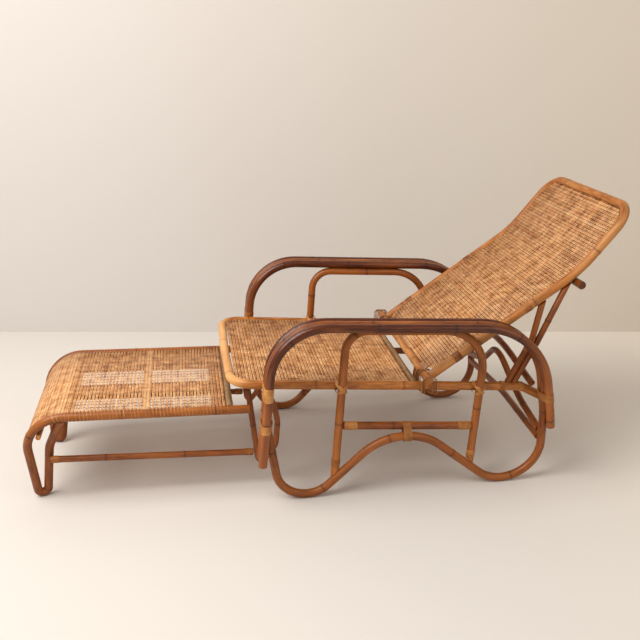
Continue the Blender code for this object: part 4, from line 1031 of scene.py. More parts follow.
def strand_material(name, dark, middle, pale, roughness, coat):
    """Split rattan strand: each strand has its own tone, with fine fibres and stained patches."""
    material, tree, shader = blank(name)
    grain = add(tree, "ShaderNodeAttribute", attribute_name="grain_at").outputs["Vector"]
    tone = add(tree, "ShaderNodeAttribute", attribute_name="tone").outputs["Fac"]
    place = add(tree, "ShaderNodeTexCoord").outputs["Object"]
    fibre_at = add(tree, "ShaderNodeMapping", {"Vector": grain, "Scale": STRAND_FIBRE}).outputs["Vector"]
    fibre = add(
        tree, "ShaderNodeTexNoise", {"Vector": fibre_at, "Scale": 1.0, "Detail": 2.0}).outputs["Fac"]
    patch = add(
        tree, "ShaderNodeTexNoise",
        {"Vector": place, "Scale": STRAND_PATCH, "Detail": 4.0, "Roughness": 0.65}).outputs["Fac"]
    along_at = add(tree, "ShaderNodeMapping", {"Vector": grain, "Scale": STRAND_ALONG}).outputs["Vector"]
    along = add(
        tree, "ShaderNodeTexNoise", {"Vector": along_at, "Scale": 1.0, "Detail": 2.0}).outputs["Fac"]
    mixed = patch
    for part, share in ((tone, OWN_TONE), (along, ALONG_TONE), (fibre, FIBRE_TONE)):
        mixed = add(
            tree, "ShaderNodeMath", {0: part, 1: share, 2: mixed}, operation="MULTIPLY_ADD").outputs[0]
    low = add(
        tree, "ShaderNodeMapRange",
        {"Value": mixed, "From Min": STRAND_DARK, "From Max": STRAND_MIDDLE}).outputs["Result"]
    high = add(
        tree, "ShaderNodeMapRange",
        {"Value": mixed, "From Min": STRAND_MIDDLE, "From Max": STRAND_PALE}).outputs["Result"]
    first = add(tree, "ShaderNodeMix", {0: low, MIX_A: linear(dark), MIX_B: linear(middle)}, data_type="RGBA")
    second = add(
        tree, "ShaderNodeMix",
        {0: high, MIX_A: first.outputs[MIX_RESULT], MIX_B: linear(pale)}, data_type="RGBA")
    tree.links.new(second.outputs[MIX_RESULT], shader.inputs["Base Color"])
    shine = add(
        tree, "ShaderNodeMapRange",
        {"Value": fibre, "From Min": SHINE_RANGE[0], "From Max": SHINE_RANGE[1],
         "To Min": roughness + STRAND_DULLER, "To Max": roughness - SHINIER})
    tree.links.new(shine.outputs["Result"], shader.inputs["Roughness"])
    bump = add(
        tree, "ShaderNodeBump", {"Height": fibre, "Distance": STRAND_RELIEF, "Strength": STRAND_BUMP})
    tree.links.new(bump.outputs["Normal"], shader.inputs["Normal"])
    lacquered(shader, coat, STRAND_COAT_ROUGHNESS)
    return material


def plaster_material(name, left, right, split_x, soften):
    """Painted room surface whose colour turns from one side to the other: painted light that evens out the
    lamp's falloff across the room.
    """
    material, tree, shader = blank(name)
    place = add(tree, "ShaderNodeNewGeometry").outputs["Position"]
    x = add(tree, "ShaderNodeSeparateXYZ", {"Vector": place}).outputs["X"]
    painted_light_shift = add(
        tree, "ShaderNodeMapRange",
        {"Value": x, "From Min": split_x - soften, "From Max": split_x + soften},
        interpolation_type="SMOOTHSTEP").outputs["Result"]
    paint = add(tree, "ShaderNodeMix", {0: painted_light_shift, MIX_A: linear(left), MIX_B: linear(right)}, data_type="RGBA")
    grit = add(
        tree, "ShaderNodeTexNoise", {"Vector": place, "Scale": GRIT_SCALE, "Detail": 3.0}).outputs["Fac"]
    bump = add(tree, "ShaderNodeBump", {"Height": grit, "Distance": GRIT_RELIEF, "Strength": GRIT_BUMP})
    tree.links.new(bump.outputs["Normal"], shader.inputs["Normal"])
    tree.links.new(paint.outputs[MIX_RESULT], shader.inputs["Base Color"])
    shader.inputs["Roughness"].default_value = PAINT_ROUGHNESS
    return material


# Rattan pole in its own skin, stained dark and lacquered: a deep red brown under a wet gloss, warm
# where it wears
dark_lacquered_rattan = cane_material(
    "dark_lacquered_rattan", 0x2A0D02, 0x4B1B06, 0x78380F, 0xAE6227, 0x1B0902, 0.28, 0.22)
# Rattan pole stained a middle red brown, with a thinner, duller lacquer
brown_rattan = cane_material("brown_rattan", 0x532106, 0x7F3E10, 0xA76026, 0xB66C2B, 0x331606, 0.36, 0.12)
# Peeled rattan pole, oiled: light honey tan with dark rings at the knuckles and soft shine
honey_rattan = cane_material("honey_rattan", 0x78390A, 0xA96022, 0xD6924A, 0xE6AC6A, 0x5A2C0E, 0.42, 0.08)
# Split rattan peel wound round the canes where they join: tan and slightly shiny, each its own tone
binding_cane = strand_material("binding_cane", 0x64300C, 0x9C5C25, 0xCB9150, 0.42, 0.08)
# The same peel, darkened by stain and handling
dark_binding_cane = strand_material("dark_binding_cane", 0x48200A, 0x81481C, 0xAE7439, 0.42, 0.08)
# Woven split rattan, left pale and gone brown unevenly with age
woven_cane = strand_material("woven_cane", 0x582706, 0xB9763A, 0xEBBC86, 0.48, 0.05)
# Peeled rattan in a duller grey brown, on the canes that lie under the weave
grey_brown_rattan = cane_material(
    "grey_brown_rattan", 0x5E4026, 0x84603C, 0xA9865A, 0x9C7850, 0x3A2616, 0.52, 0.05)


def stand_flat(piece):
    """The underside of a foot ends on the floor."""
    for vertex in piece.data.vertices:
        vertex.co.z = max(vertex.co.z, 0.0)


# Side frames
hoop_drop = (ARM_CANE + HOOP_CANE) / 2 + GAP
hoop_corners = [
    (HOOP_FRONT_FOOT_X, HOOP_FOOT_Z),
    (HOOP_FRONT_X, arm_z(HOOP_FRONT_X) - hoop_drop),
    (HOOP_REAR_X, arm_z(HOOP_REAR_X) - hoop_drop),
    (HOOP_REAR_FOOT_X, HOOP_FOOT_Z),
]


def hoop_x(z, front):
    """Side view of the hoop's straight legs."""
    foot, top = (hoop_corners[0], hoop_corners[1]) if front else (hoop_corners[3], hoop_corners[2])
    return foot[0] + (top[0] - foot[0]) * (z - foot[1]) / (top[1] - foot[1])


def loop_path(front_z, rear_z):
    """The base loop, seen from the side, for given heights of its two lower corners."""
    corners = [
        (ARM_FRONT_X, ARM_FRONT_Z), (ARM_REAR_X, ARM_REAR_Z), (arm_x(KNEE_REAR_Z, False), KNEE_REAR_Z),
        (LOOP_REAR[0], rear_z), LOOP_APEX, (LOOP_FRONT[0], front_z), (arm_x(KNEE_FRONT_Z), KNEE_FRONT_Z),
    ]
    radii = (
        ARM_FRONT_RADIUS, ARM_REAR_RADIUS, KNEE_RADIUS,
        LOOP_REAR_RADIUS, LOOP_APEX_RADIUS, LOOP_FRONT_RADIUS, KNEE_RADIUS,
    )
    return rounded(side_path(corners), radii, closed=True)


def settled_loop():
    """The base loop with both of its bends brought down to the floor."""
    front_z, rear_z = LOOP_FRONT[1], LOOP_REAR[1]
    rest = BASE_CANE / 2 - FLAT_CUT
    for _ in range(SETTLE_ROUNDS):
        path = loop_path(front_z, rear_z)
        front_z -= min(p[2] for p in path if p[0] < LOOP_APEX[0]) - rest
        rear_z -= min(p[2] for p in path if p[0] > LOOP_APEX[0]) - rest
    return loop_path(front_z, rear_z)


def loop_at(loop, z, front):
    """Where a leg of the base loop stands at a height, seen from the side."""
    if front:
        leg = [p for p in loop if p[0] < ARM_FRONT_X + LEG_BAND and p[2] > LEG_LOW]
    else:
        leg = [p for p in loop if p[0] > ARM_REAR_X - LEG_BAND and p[2] > LEG_LOW]
    leg.sort(key=lambda p: p[2])
    return float(np.interp(z, [p[2] for p in leg], [p[0] for p in leg]))


def rail_at_hoop(front):
    """Where the seat rail passes a leg of the hoop, along the length."""
    return hoop_x(rail_z(hoop_x(SEAT_FRONT_Z, front)), front)


arm_corners = [ARM_FRONT_FOOT, (ARM_FRONT_X, ARM_FRONT_Z), (ARM_REAR_X, ARM_REAR_Z), ARM_REAR_FOOT]
arm_view = rounded(side_path(arm_corners), (ARM_FRONT_RADIUS, ARM_REAR_RADIUS))
loop_view = settled_loop()
hoop_view = rounded(side_path(hoop_corners), (HOOP_FRONT_RADIUS, HOOP_REAR_RADIUS))

pivot_z = rail_z(PIVOT_X) + SEAT_CANE / 2 + PIVOT_CANE / 2 + GAP

# Seat frame: one cane bent round the front, with plain ends behind the pivot
seat_path = rounded(
    [
        (RAIL_END_X, -RAIL_Y, RAIL_END_Z),
        (RAIL_BEND_X, -RAIL_Y, rail_z(RAIL_BEND_X)),
        (SEAT_FRONT_X, -RAIL_Y, SEAT_FRONT_Z),
        (SEAT_FRONT_X - SEAT_BOW, 0.0, SEAT_FRONT_Z),
        (SEAT_FRONT_X, RAIL_Y, SEAT_FRONT_Z),
        (RAIL_BEND_X, RAIL_Y, rail_z(RAIL_BEND_X)),
        (RAIL_END_X, RAIL_Y, RAIL_END_Z),
    ],
    (RAIL_BEND_RADIUS, SEAT_CORNER, SEAT_BOW_RADIUS, SEAT_CORNER, RAIL_BEND_RADIUS))
right_rail = [p for p in seat_path if p[1] > RAIL_Y - GAP]
seat_length = float(lengths(seat_path)[-1])
rail_end = float(lengths(right_rail)[-1])
rail_slope = math.hypot(1.0, SEAT_SLOPE)
foot_from_end = rail_end - (PROP_FOOT_X - right_rail[0][0]) * rail_slope
# The seat rail's tones paint its front paler and its sides darker: painted light and shade
cane(
    "seat_frame_cane", seat_path, SEAT_CANE / 2, honey_rattan, "frame", "honey_rattan", ["seat_frame"],
    wear_and_light=RAIL_PAINTED_LIGHT)

# Windings on the seat rail, in two layers, that stop the props' feet
stops = Gathered()
for near in (foot_from_end - NOTCH_HALF - NOTCH_LONG, foot_from_end + NOTCH_HALF):
    for start in (near, seat_length - near - NOTCH_LONG):
        for layer in (0, 1):
            winding_on(
                stops, seat_path, SEAT_CANE / 2 + layer * WINDING_THICK, start, start + NOTCH_LONG,
                start + layer)
stops.piece("prop_stops", binding_cane, "frame", "binding_cane")

for side_name, side in SIDE_NAMES:
    for label, y in (("outer", ARM_MIDDLE_Y + ARM_PITCH), ("inner", ARM_MIDDLE_Y - ARM_PITCH)):
        cane(
            f"{label}_arm_{side_name}", mirrored(leaned(arm_view, y), side), ARM_CANE / 2,
            dark_lacquered_rattan, "frame", "dark_lacquered_rattan", [f"arm_{label}_cane_{side_name}"],
            wear_and_light=ARM_WEAR)
    loop = mirrored(leaned(loop_view, ARM_MIDDLE_Y, closed=True), side)
    made = cane(
        f"base_loop_{side_name}", loop, BASE_CANE / 2, brown_rattan, "frame", "brown_rattan",
        [f"base_loop_cane_{side_name}"], closed=True, wear_and_light=BASE_WEAR)
    stand_flat(made)

    # Hoop, wound at both feet and cut to stand on the base loop
    hoop = mirrored(leaned(hoop_view, HOOP_Y, lean=0.0), side)
    cuts, bare = [], []
    for end, step in ((0, 1), (-1, -1)):
        leg = unit(hoop[end] - hoop[end + step])
        met, tangent = crossing(hoop[end], leg, loop_view)
        normal = np.array((-tangent[2], 0.0, tangent[0])) * math.copysign(1.0, tangent[0])
        face = met + normal * (BASE_CANE / 2 + FOOT_GAP)
        face[1] = hoop[end][1]
        facing = abs(float(leg @ normal))
        hoop[end] = hoop[end] + leg * (((face - hoop[end]) @ normal) / (leg @ normal))
        cuts.append((face, normal))
        bare.append((HOOP_CANE / 2 + WRAP_THICK) * math.sqrt(1 - facing ** 2) / facing + WRAP_PITCH / 2)
    run = float(lengths(hoop)[-1])
    cane(
        f"hoop_{side_name}", hoop, HOOP_CANE / 2, brown_rattan, "frame", "brown_rattan",
        [f"hoop_cane_{side_name}"], cuts=cuts, wear_and_light=HOOP_WEAR)
    bands = Gathered()
    feet = ((bare[0], bare[0] + HOOP_FOOT_WIND), (run - bare[1] - HOOP_FOOT_WIND, run - bare[1]))
    for (start, end), seed in zip(feet, HOOP_SEEDS):
        winding_on(bands, hoop, HOOP_CANE / 2, start, end, side + seed)

    # Stretcher between the hoop's legs, wound at both ends
    wound = STRETCHER_CANE / 2 + WRAP_THICK
    front_end = np.array((hoop_x(STRETCHER_FRONT_Z, True), side * HOOP_Y, STRETCHER_FRONT_Z))
    rear_end = np.array((hoop_x(STRETCHER_REAR_Z, False), side * HOOP_Y, STRETCHER_REAR_Z))
    middle = (front_end + rear_end) / 2
    ends = [reach(middle, e, wound, [(hoop, HOOP_CANE / 2)]) for e in (front_end, rear_end)]
    cane(
        f"side_stretcher_{side_name}", ends, STRETCHER_CANE / 2, brown_rattan, "frame", "brown_rattan",
        [f"stretcher_{side_name}"], wear_and_light=STRETCHER_WEAR)
    wound_ends(bands, ends, STRETCHER_CANE / 2, STRETCHER_WIND, side, STRETCHER_SEEDS)
    bands.piece(f"hoop_windings_{side_name}", binding_cane, "frame", "binding_cane")

    # Winding that ties the stretcher to the top of the base loop
    tie_z = STRETCHER_FRONT_Z + (STRETCHER_REAR_Z - STRETCHER_FRONT_Z) * (
        (STRETCHER_TIE_X - front_end[0]) / (rear_end[0] - front_end[0]))
    low = [p for p in loop_view if p[2] < LOOP_APEX[1] and abs(p[0] - LOOP_APEX[0]) < LOOP_APEX_RADIUS]
    loop_z = height_on(low, STRETCHER_TIE_X)
    apart = (0.0, side * (lean_y(ARM_MIDDLE_Y, loop_z) - HOOP_Y), loop_z - tie_z)
    canes = [((0.0, 0.0, 0.0), STRETCHER_CANE / 2), (apart, BASE_CANE / 2 + TIE_SLACK)]
    tie = Gathered()
    winding_round(
        tie, (STRETCHER_TIE_X, side * HOOP_Y, tie_z), ends[1] - ends[0], canes, STRETCHER_TIE_LONG, TIE_SEED)
    tie.piece(
        f"stretcher_winding_{side_name}", dark_binding_cane, "frame", "dark_binding_cane",
        [f"stretcher_tie_{side_name}"])

    # Windings that tie the three leg canes together
    for label, z, front, length in LEG_WRAPS:
        x = arm_x(z, front)
        axis = (arm_x(z + LEG_BAND, front) - x, 0.0, LEG_BAND)
        centre = (x, side * lean_y(ARM_MIDDLE_Y, z), z)
        apart = loop_at(loop_view, z, front) - x
        heights = (z - length / 2, z + length / 2)
        drift = max(abs(loop_at(loop_view, h, front) - arm_x(h, front) - apart) for h in heights)
        canes = [((0.0, k * ARM_PITCH, 0.0), ARM_CANE / 2) for k in (-1, 1)]
        canes.append(((apart, 0.0, 0.0), BASE_CANE / 2 + drift))
        winding = Gathered()
        winding_round(winding, centre, axis, canes, length, z * LEG_SEED + side)
        finish = binding_cane if front else dark_binding_cane
        winding.piece(
            f"{label}_strand_{side_name}", finish, "frame", "binding_cane", [f"{label}_{side_name}"])

    # Lashings of the seat rail to the hoop's front and rear legs
    along_rail = (1.0, 0.0, SEAT_SLOPE)
    for label, front in (("rail_lash_front", True), ("rail_lash_rear", False)):
        x = rail_at_hoop(front)
        top, foot = (hoop_corners[1], hoop_corners[0]) if front else (hoop_corners[2], hoop_corners[3])
        along_leg = (top[0] - foot[0], 0.0, top[1] - HOOP_FOOT_Z)
        tied = Gathered()
        cross_winding(
            tied, (x, side * RAIL_Y, rail_z(x)), (x, side * HOOP_Y, rail_z(x)),
            along_rail, along_leg, SEAT_CANE / 2, HOOP_CANE / 2)
        tied.piece(
            f"{label}_strands_{side_name}", binding_cane, "frame", "binding_cane", [f"{label}_{side_name}"])

    # Cradle: a lashing under the seat rail that holds the pivot bar down, beside the back rail
    tied = Gathered()
    cradle_lashing(
        tied, (PIVOT_X, side * RAIL_Y, pivot_z), (PIVOT_X, side * RAIL_Y, rail_z(PIVOT_X)),
        (0.0, 1.0, 0.0), along_rail, PIVOT_CANE / 2, SEAT_CANE / 2)
    tied.piece(
        f"pivot_cradle_strands_{side_name}", dark_binding_cane, "frame", "dark_binding_cane",
        [f"pivot_cradle_{side_name}"])

# Seat panel, cut to the inside of the frame
inset = SEAT_CANE / 2 + GAP
outline = []
for i in range(1, len(seat_path) - 1):
    tangent = unit(seat_path[i + 1] - seat_path[i - 1])
    outline.append(seat_path[i] + unit(np.array((tangent[1], -tangent[0], 0.0))) * inset)
front_half = [p for p in outline if p[1] > PANEL_FRONT_Y and p[0] < SEAT_REAR_X - PANEL_FRONT_X]
front_half.sort(key=lambda p: p[1])
panel_front_x = front_half[0][0]
panel_rear_x = SEAT_REAR_X - SEAT_REAR_CANE / 2 - GAP
seat_line = [np.array((x, 0.0, rail_z(x) + PANEL_RISE)) for x in (panel_front_x, panel_rear_x)]
widths = [((p[0] - panel_front_x) * rail_slope, p[1]) for p in front_half]
side_half = RAIL_Y - inset
notch = (
    (-NOTCH_CLEAR, 0.0), (-NOTCH_CLEAR + GAP, STRAP_ROOM),
    (NOTCH_CLEAR - GAP, STRAP_ROOM), (NOTCH_CLEAR, 0.0))
for front in (True, False):
    x = rail_at_hoop(front)
    if x < panel_rear_x:
        s = (x - panel_front_x) * rail_slope
        widths += [(s + at, side_half - room) for at, room in notch]
woven_panel("seat_woven_strands", seat_line, widths, 1.0, "frame", "seat_weave")
seat_rear = [(SEAT_REAR_X, y, rail_z(SEAT_REAR_X)) for y in (-side_half, side_half)]
cane(
    "seat_rear_cane", seat_rear, SEAT_REAR_CANE / 2, grey_brown_rattan, "frame", "honey_rattan",
    ["seat_rear_rail"])

# Bracing between the rear legs
loops = []
for side in (-1.0, 1.0):
    loop = mirrored(leaned(loop_view, ARM_MIDDLE_Y, closed=True), side)
    loops.append((loop + loop[:1], BASE_CANE / 2))
    loops.append((mirrored(leaned(arm_view, ARM_MIDDLE_Y - ARM_PITCH), side), ARM_CANE / 2))
arch = across_bar(BRACE_X, ARCH_FOOT_Z, (ARCH_MIDDLE, (0, ARCH_TOP_Z)), ARCH_RADII, ARM_MIDDLE_Y)
arch = [p - np.array((ARCH_LEAN * (p[2] - ARCH_FOOT_Z), 0.0, 0.0)) for p in arch]
arch = trimmed_bar(arch, BRACE_CANE / 2 + 3 * GAP, loops)
cane("rear_arch_cane", arch, BRACE_CANE / 2, brown_rattan, "frame", "brown_rattan", ["rear_arch"])
bow = across_bar(BRACE_X, BOW_FOOT_Z, ((0, BOW_TOP_Z),), (BOW_RADIUS,), ARM_MIDDLE_Y)
bow = trimmed_bar(bow, BRACE_CANE / 2, loops)
cane("rear_lower_cane", bow, BRACE_CANE / 2, brown_rattan, "frame", "brown_rattan", ["rear_lower_bar"])
tail = unit(np.array((RAIL_END_X - RAIL_BEND_X, 0.0, RAIL_END_Z - rail_z(RAIL_BEND_X))))
bar_z = height_on(right_rail, UPPER_BAR_X) + ((SEAT_CANE + BRACE_CANE) / 2 + FOOT_GAP) / tail[0]
upper = across_bar(
    UPPER_BAR_X, bar_z, ((0, bar_z + UPPER_BAR_RISE),), (UPPER_BAR_RADIUS,), UPPER_BAR_HALF)
cane("rear_upper_cane", upper, BRACE_CANE / 2, brown_rattan, "frame", "brown_rattan", ["rear_upper_bar"])

# Backrest: rails that butt on the pivot bar, bend upwards and join in the top rail
direction = np.array((math.cos(BACK_ANGLE), 0.0, math.sin(BACK_ANGLE)))
bend = np.array((BACK_BEND[0], 0.0, BACK_BEND[1]))
top = np.array((BACK_TOP[0], 0.0, BACK_TOP[1]))
pivot = np.array((PIVOT_X, 0.0, pivot_z))
rail_origin = bend - direction * float((bend - pivot) @ direction)
rail_start = rail_origin + direction * (PIVOT_CANE / 2 + GAP)
back_view = rounded([rail_origin, bend, top], (BACK_BEND_RADIUS,))
left = [c + np.array((0.0, -BACK_Y, 0.0)) for c in (rail_start, bend, top)]
right = [c + np.array((0.0, BACK_Y, 0.0)) for c in (top, bend, rail_start)]
back_path = rounded(left + right, (BACK_BEND_RADIUS, BACK_CORNER, BACK_CORNER, BACK_BEND_RADIUS))
back_length = float(lengths(back_path)[-1])
cane("back_frame_cane", back_path, BACK_CANE / 2, honey_rattan, "backrest", "honey_rattan", ["back_frame"])
bands = Gathered()
for along in (BACK_ROD_LOWER, BACK_ROD_UPPER):
    near = along - PIVOT_CANE / 2 - GAP - BACK_WIND / 2
    for start in (near, back_length - near - BACK_WIND):
        winding_on(bands, back_path, BACK_CANE / 2, start, start + BACK_WIND, start * BACK_SEED)
bands.piece("back_rail_windings", binding_cane, "backrest", "binding_cane")
pivot_ends = [(PIVOT_X, -PIVOT_HALF, pivot_z), (PIVOT_X, PIVOT_HALF, pivot_z)]
cane(
    "pivot_cane", pivot_ends, PIVOT_CANE / 2 * math.cos(math.pi / CAD_SIDES), honey_rattan, "backrest",
    "honey_rattan", ["pivot_bar"])

# Back panel, narrower between the cradles and rounded into the corners of the top rail
back_along = lengths(back_view)
back_run = float(back_along[-1])
inset = BACK_CANE / 2 + GAP
panel_back = raised(part_of(back_view, BACK_PANEL_START, back_run - inset), PANEL_RISE)
panel_run = float(lengths(panel_back)[-1])
half = BACK_Y - inset
corner = BACK_CORNER - inset
widths = [(0.0, half - CRADLE_ROOM), (CRADLE_CLEAR - BACK_PANEL_START, half - CRADLE_ROOM)]
widths.append((CRADLE_CLEAR - BACK_PANEL_START + GAP, half - BIND_ROOM))
widths.append((panel_run - corner, half - BIND_ROOM))
for k in range(1, PANEL_CORNER_STEPS + 1):
    turn = math.pi / 2 * k / PANEL_CORNER_STEPS
    side_y = half - BIND_ROOM - corner + corner * math.cos(turn)
    widths.append((panel_run - corner + corner * math.sin(turn), side_y))
woven_panel("back_woven_strands", panel_back, widths, 1.0, "backrest", "back_weave")

# Rods and the props' cross cane behind the back panel
for label, along in (("lower", BACK_ROD_LOWER), ("upper", BACK_ROD_UPPER)):
    x, _, z = point_below(back_view, along, BACK_ROD_DROP)
    rod_half = BACK_Y - BACK_CANE / 2 - WRAP_THICK - GAP
    rod = [(x, -rod_half, z), (x, rod_half, z)]
    cane(
        f"back_rod_{label}", rod, BACK_ROD / 2, brown_rattan, "backrest", "brown_rattan",
        [f"back_cross_rod_{label}"])
x, _, z = point_below(back_view, HANDLE_ALONG, (BACK_CANE + HANDLE_CANE) / 2 + 2 * GAP)
handle_path = [np.array((x, -HANDLE_HALF, z)), np.array((x, HANDLE_HALF, z))]
cane(
    "prop_cross_cane", handle_path, HANDLE_CANE / 2, dark_lacquered_rattan, "backrest",
    "dark_lacquered_rattan", ["prop_dowel"])

# Props: two canes a side, bound together below the fork, standing on the seat rail
prop_foot_z = height_on(right_rail, PROP_FOOT_X) + SEAT_CANE / 2
knee = np.array((PROP_KNEE[0], 0.0, PROP_KNEE[1]))
foot = np.array((PROP_FOOT_X, 0.0, prop_foot_z))
down = unit(foot - knee)
beside = np.array((-down[2], 0.0, down[0]))
half_apart = PROP_CANE / 2 + GAP / 2
foot_lift = GAP / abs(down[2])
for side_name, side in SIDE_NAMES:
    for label, along, shift in (("front", PROP_FRONT_ALONG, -1.0), ("rear", PROP_REAR_ALONG, 1.0)):
        at_rail = at_length(back_view, back_along, along)
        bend_at = knee + beside * (shift * half_apart)
        low = bend_at + down * ((bend_at[2] - prop_foot_z) / abs(down[2]) - foot_lift)
        y = np.array((0.0, side * PROP_Y, 0.0))
        tangent = unit(at_length(back_view, back_along, along + TANGENT_STEP) - at_rail)
        normal = np.array((tangent[2], 0.0, -tangent[0]))
        face = at_rail + y + normal * (BACK_CANE / 2 + GAP)
        path = rounded([face, bend_at + y, low + y], (PROP_KNEE_RADIUS,))
        sole = (foot + y + np.array((0.0, 0.0, GAP)), np.array((-SEAT_SLOPE, 0.0, 1.0)))
        cane(
            f"prop_{label}_{side_name}", path, PROP_CANE / 2, brown_rattan, "backrest", "brown_rattan",
            [f"prop_{label}_cane_{side_name}"], cuts=((face, normal), sole))
    centre = knee + down * PROP_WRAP_ALONG + np.array((0.0, side * PROP_Y, 0.0))
    canes = [(beside * (s * half_apart), PROP_CANE / 2) for s in (-1, 1)]
    winding = Gathered()
    winding_round(winding, centre, down, canes, PROP_WRAP_LONG, side + PROP_SEED)
    winding.piece(
        f"prop_winding_{side_name}", dark_binding_cane, "backrest", "dark_binding_cane",
        [f"prop_wrap_{side_name}"])

# Footrest: a cane a side that turns down into a foot and comes back up under itself
foot_z = FOOTREST_FOOT[1]
for _ in range(SETTLE_ROUNDS):
    corners = [
        (FOOTREST_REAR[0], FOOTREST_Y, FOOTREST_REAR[1]), (FOOTREST_FRONT[0], FOOTREST_Y, FOOTREST_FRONT[1]),
        (FOOTREST_FOOT[0], FOOTREST_FOOT_Y, foot_z), (FOOTREST_KNEE[0], FOOTREST_KNEE_Y, FOOTREST_KNEE[1]),
        (FOOTREST_JOINT[0], FOOTREST_Y, FOOTREST_JOINT[1]),
    ]
    radii = (FOOTREST_FRONT_RADIUS, FOOTREST_FOOT_RADIUS, FOOTREST_KNEE_RADIUS)
    foot_line = rounded(corners, radii)
    foot_z -= min(p[2] for p in foot_line) - (FOOTREST_CANE / 2 - FLAT_CUT)
bend_run = unit(foot_line[2] - foot_line[1])
below = unit(np.array((-bend_run[2], 0.0, bend_run[0])))
rest_face = foot_line[1] + below * (FOOTREST_CANE / 2 + 2 * FOOT_GAP)
last = unit(foot_line[-1] - foot_line[-2])
foot_line[-1] = foot_line[-1] + last * (((rest_face - foot_line[-1]) @ below) / (last @ below))
rest_rail = [np.array(corners[0]), np.array(corners[1])]
outer_arm = (np.array(corners[1]), np.array(corners[2]))


def on_outer_arm(z):
    """A point on the footrest's outer leg at a height, on the right side."""
    high, low = outer_arm
    return high + (low - high) * ((z - high[2]) / (low[2] - high[2]))


for side_name, side in SIDE_NAMES:
    foot_cane = mirrored(foot_line, side)
    face = rest_face * np.array((1.0, side, 1.0))
    made = cane(
        f"footrest_side_{side_name}", foot_cane, FOOTREST_CANE / 2, brown_rattan, "footrest", "brown_rattan",
        [f"footrest_side_cane_{side_name}"], cuts=(None, (face, below)), wear_and_light=FOOT_WEAR)
    stand_flat(made)

    # Hairpin at the rear end, on the inner side of the rail
    hairpin_y = FOOTREST_Y - (FOOTREST_CANE + HAIRPIN_CANE) / 2 - GAP
    hairpin_view = rounded(side_path(HAIRPIN_CORNERS), HAIRPIN_RADII)
    hairpin = [np.array((x, side * hairpin_y, z)) for x, _, z in hairpin_view]
    cane(
        f"hairpin_{side_name}", hairpin, HAIRPIN_CANE / 2, brown_rattan, "footrest", "brown_rattan",
        [f"footrest_hairpin_{side_name}"])

    # Stretcher from the outer leg, past the inner one, to the hairpin
    wound = FOOTREST_STRETCHER_CANE / 2 + WRAP_THICK
    front = on_outer_arm(FOOTREST_STRETCHER_FRONT_Z) + np.array((0.0, STRETCHER_ASIDE, 0.0))
    front = front * np.array((1.0, side, 1.0))
    rear = np.array((HAIRPIN_CORNERS[1][0], side * hairpin_y, FOOTREST_STRETCHER_REAR_Z))
    middle = (front + rear) / 2
    ends = [
        reach(middle, front, wound, [(foot_cane, FOOTREST_CANE / 2)]),
        reach(middle, rear, wound, [(hairpin, HAIRPIN_CANE / 2)]),
    ]
    cane(
        f"footrest_brace_{side_name}", ends, FOOTREST_STRETCHER_CANE / 2, brown_rattan, "footrest",
        "brown_rattan", [f"footrest_stretcher_{side_name}"])
    bands = Gathered()
    wound_ends(bands, ends, FOOTREST_STRETCHER_CANE / 2, FOOTREST_WIND, side, BRACE_SEEDS)
    start, end = FOOTREST_WOUND
    winding_on(bands, foot_cane, FOOTREST_CANE / 2, start, end, side + RAIL_SEED, RAIL_WIND_PITCH)
    bands.piece(f"footrest_windings_{side_name}", binding_cane, "footrest", "binding_cane")

# Footrest cross pieces and panel
rear_z = height_on(rest_rail, FOOTREST_REAR_RAIL_X)
half = FOOTREST_Y - FOOTREST_CANE / 2 - GAP
rear_rail = [(FOOTREST_REAR_RAIL_X, y, rear_z) for y in (-half, half)]
cane(
    "footrest_rear_cane", rear_rail, FOOTREST_REAR_RAIL_CANE / 2, grey_brown_rattan, "footrest",
    "honey_rattan", ["footrest_rear_rail"])
both = [(mirrored(foot_line, s), FOOTREST_CANE / 2) for s in (-1.0, 1.0)]
x, z = FOOTREST_ROD_AT
rod_ends = [
    reach((x, 0.0, z), (x, s * FOOTREST_Y, z), FOOTREST_ROD / 2 + 2 * GAP, both) for s in (-1.0, 1.0)]
cane(
    "footrest_front_cane", rod_ends, FOOTREST_ROD / 2, honey_rattan, "footrest", "honey_rattan",
    ["footrest_front_rod"])

start = FOOTREST_REAR[0] - FOOTREST_REAR_RAIL_X + FOOTREST_REAR_RAIL_CANE / 2 + GAP
line = part_of(foot_line, start, FOOTREST_PANEL_LONG)
flat_line = [np.array((p[0], 0.0, p[2])) for p in line]
panel_line = raised(flat_line, -PANEL_RISE)
table = lengths(panel_line)
widths = [(float(s), p[1] - FOOTREST_CANE / 2 - 3 * GAP) for s, p in zip(table, line)]
woven_panel(
    "footrest_woven_strands", panel_line, widths, -1.0, "footrest", "footrest_weave",
    FOOTREST_WINDOWS, FOOTREST_BANDS)

# Floor and wall, soft light from the upper left
ahead = np.array((-math.sin(CAMERA_TURN), math.cos(CAMERA_TURN)))
aside = np.array((ahead[1], -ahead[0]))
foot_of_camera = np.array((camera.location[0], camera.location[1]))


def plane(name, corners, finish):
    """A flat piece of the room."""
    mesh = bpy.data.meshes.new(name)
    mesh.from_pydata(corners, [], [(0, 1, 2, 3)])
    mesh.materials.append(finish)
    made = bpy.data.objects.new(name, mesh)
    bpy.context.scene.collection.objects.link(made)


wall_foot = foot_of_camera + ahead * WALL_AWAY
left_foot, right_foot = wall_foot - aside * ROOM_HALF, wall_foot + aside * ROOM_HALF
# Matt wall paint, cool grey on the left and warmer and a little paler on the right: painted light against the
# lamp's falloff
wall_paint = plaster_material("pale_wall_paint", 0xD0CAC5, 0xD8CDBD, SHIFT + WALL_TURN, WALL_SOFTEN)
# Matt floor paint, paler and warmer than the wall, and much paler on the right: painted light against the
# lamp's falloff
floor_paint = plaster_material("pale_floor_paint", 0xD6D0C9, 0xF6ECDE, SHIFT + FLOOR_TURN, FLOOR_SOFTEN)
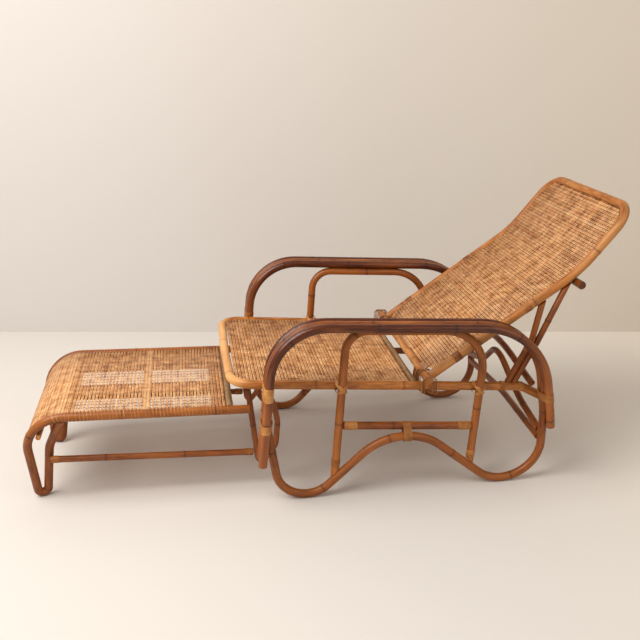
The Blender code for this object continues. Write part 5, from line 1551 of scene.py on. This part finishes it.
# The wall is open from behind, so that the back of the chair can be seen
wall_tree = wall_paint.node_tree
from_behind = add(wall_tree, "ShaderNodeNewGeometry").outputs["Backfacing"]
clear = add(wall_tree, "ShaderNodeBsdfTransparent").outputs["BSDF"]
one_sided = add(
    wall_tree, "ShaderNodeMixShader",
    {0: from_behind, 1: wall_tree.nodes["Principled BSDF"].outputs["BSDF"], 2: clear}).outputs["Shader"]
wall_tree.links.new(one_sided, wall_tree.nodes["Material Output"].inputs["Surface"])
plane(
    "backdrop",
    [(*left_foot, 0.0), (*right_foot, 0.0), (*right_foot, WALL_HIGH), (*left_foot, WALL_HIGH)], wall_paint)
near = wall_foot - ahead * 2 * ROOM_HALF
near_left, near_right = near - aside * ROOM_HALF, near + aside * ROOM_HALF
far_left, far_right = left_foot + ahead * ROOM_HALF, right_foot + ahead * ROOM_HALF
plane("floor", [(*spot, 0.0) for spot in (near_left, near_right, far_right, far_left)], floor_paint)

for name, place, toward, power, wide, shade in LAMPS:
    data = bpy.data.lights.new(name, "AREA")
    data.energy = power
    data.shape = "SQUARE"
    data.size = wide
    data.color = linear(shade)[:3]
    lamp = bpy.data.objects.new(name, data)
    lamp.location = (place[0] + SHIFT, place[1], place[2])
    lamp.rotation_euler = (Vector(toward) - Vector(lamp.location)).to_track_quat("-Z", "Y").to_euler()
    bpy.context.scene.collection.objects.link(lamp)

# Even light of the room. Beyond the floor the camera sees a plain pale colour
world = bpy.data.worlds.new("room_light")
bpy.context.scene.world = world
world.use_nodes = True
room_tree = world.node_tree
room_light = room_tree.nodes["Background"]
room_light.inputs["Color"].default_value = linear(0xFFFDFA)
room_light.inputs["Strength"].default_value = ROOM_LIGHT
seen = add(room_tree, "ShaderNodeLightPath").outputs["Is Camera Ray"]
pale = add(
    room_tree, "ShaderNodeBackground", {"Color": linear(0xE6DDD2), "Strength": 1.0}).outputs["Background"]
shown = add(
    room_tree, "ShaderNodeMixShader",
    {0: seen, 1: room_light.outputs["Background"], 2: pale}).outputs["Shader"]
room_tree.links.new(shown, room_tree.nodes["World Output"].inputs["Surface"])
view = bpy.context.scene.view_settings
view.view_transform = "Standard"
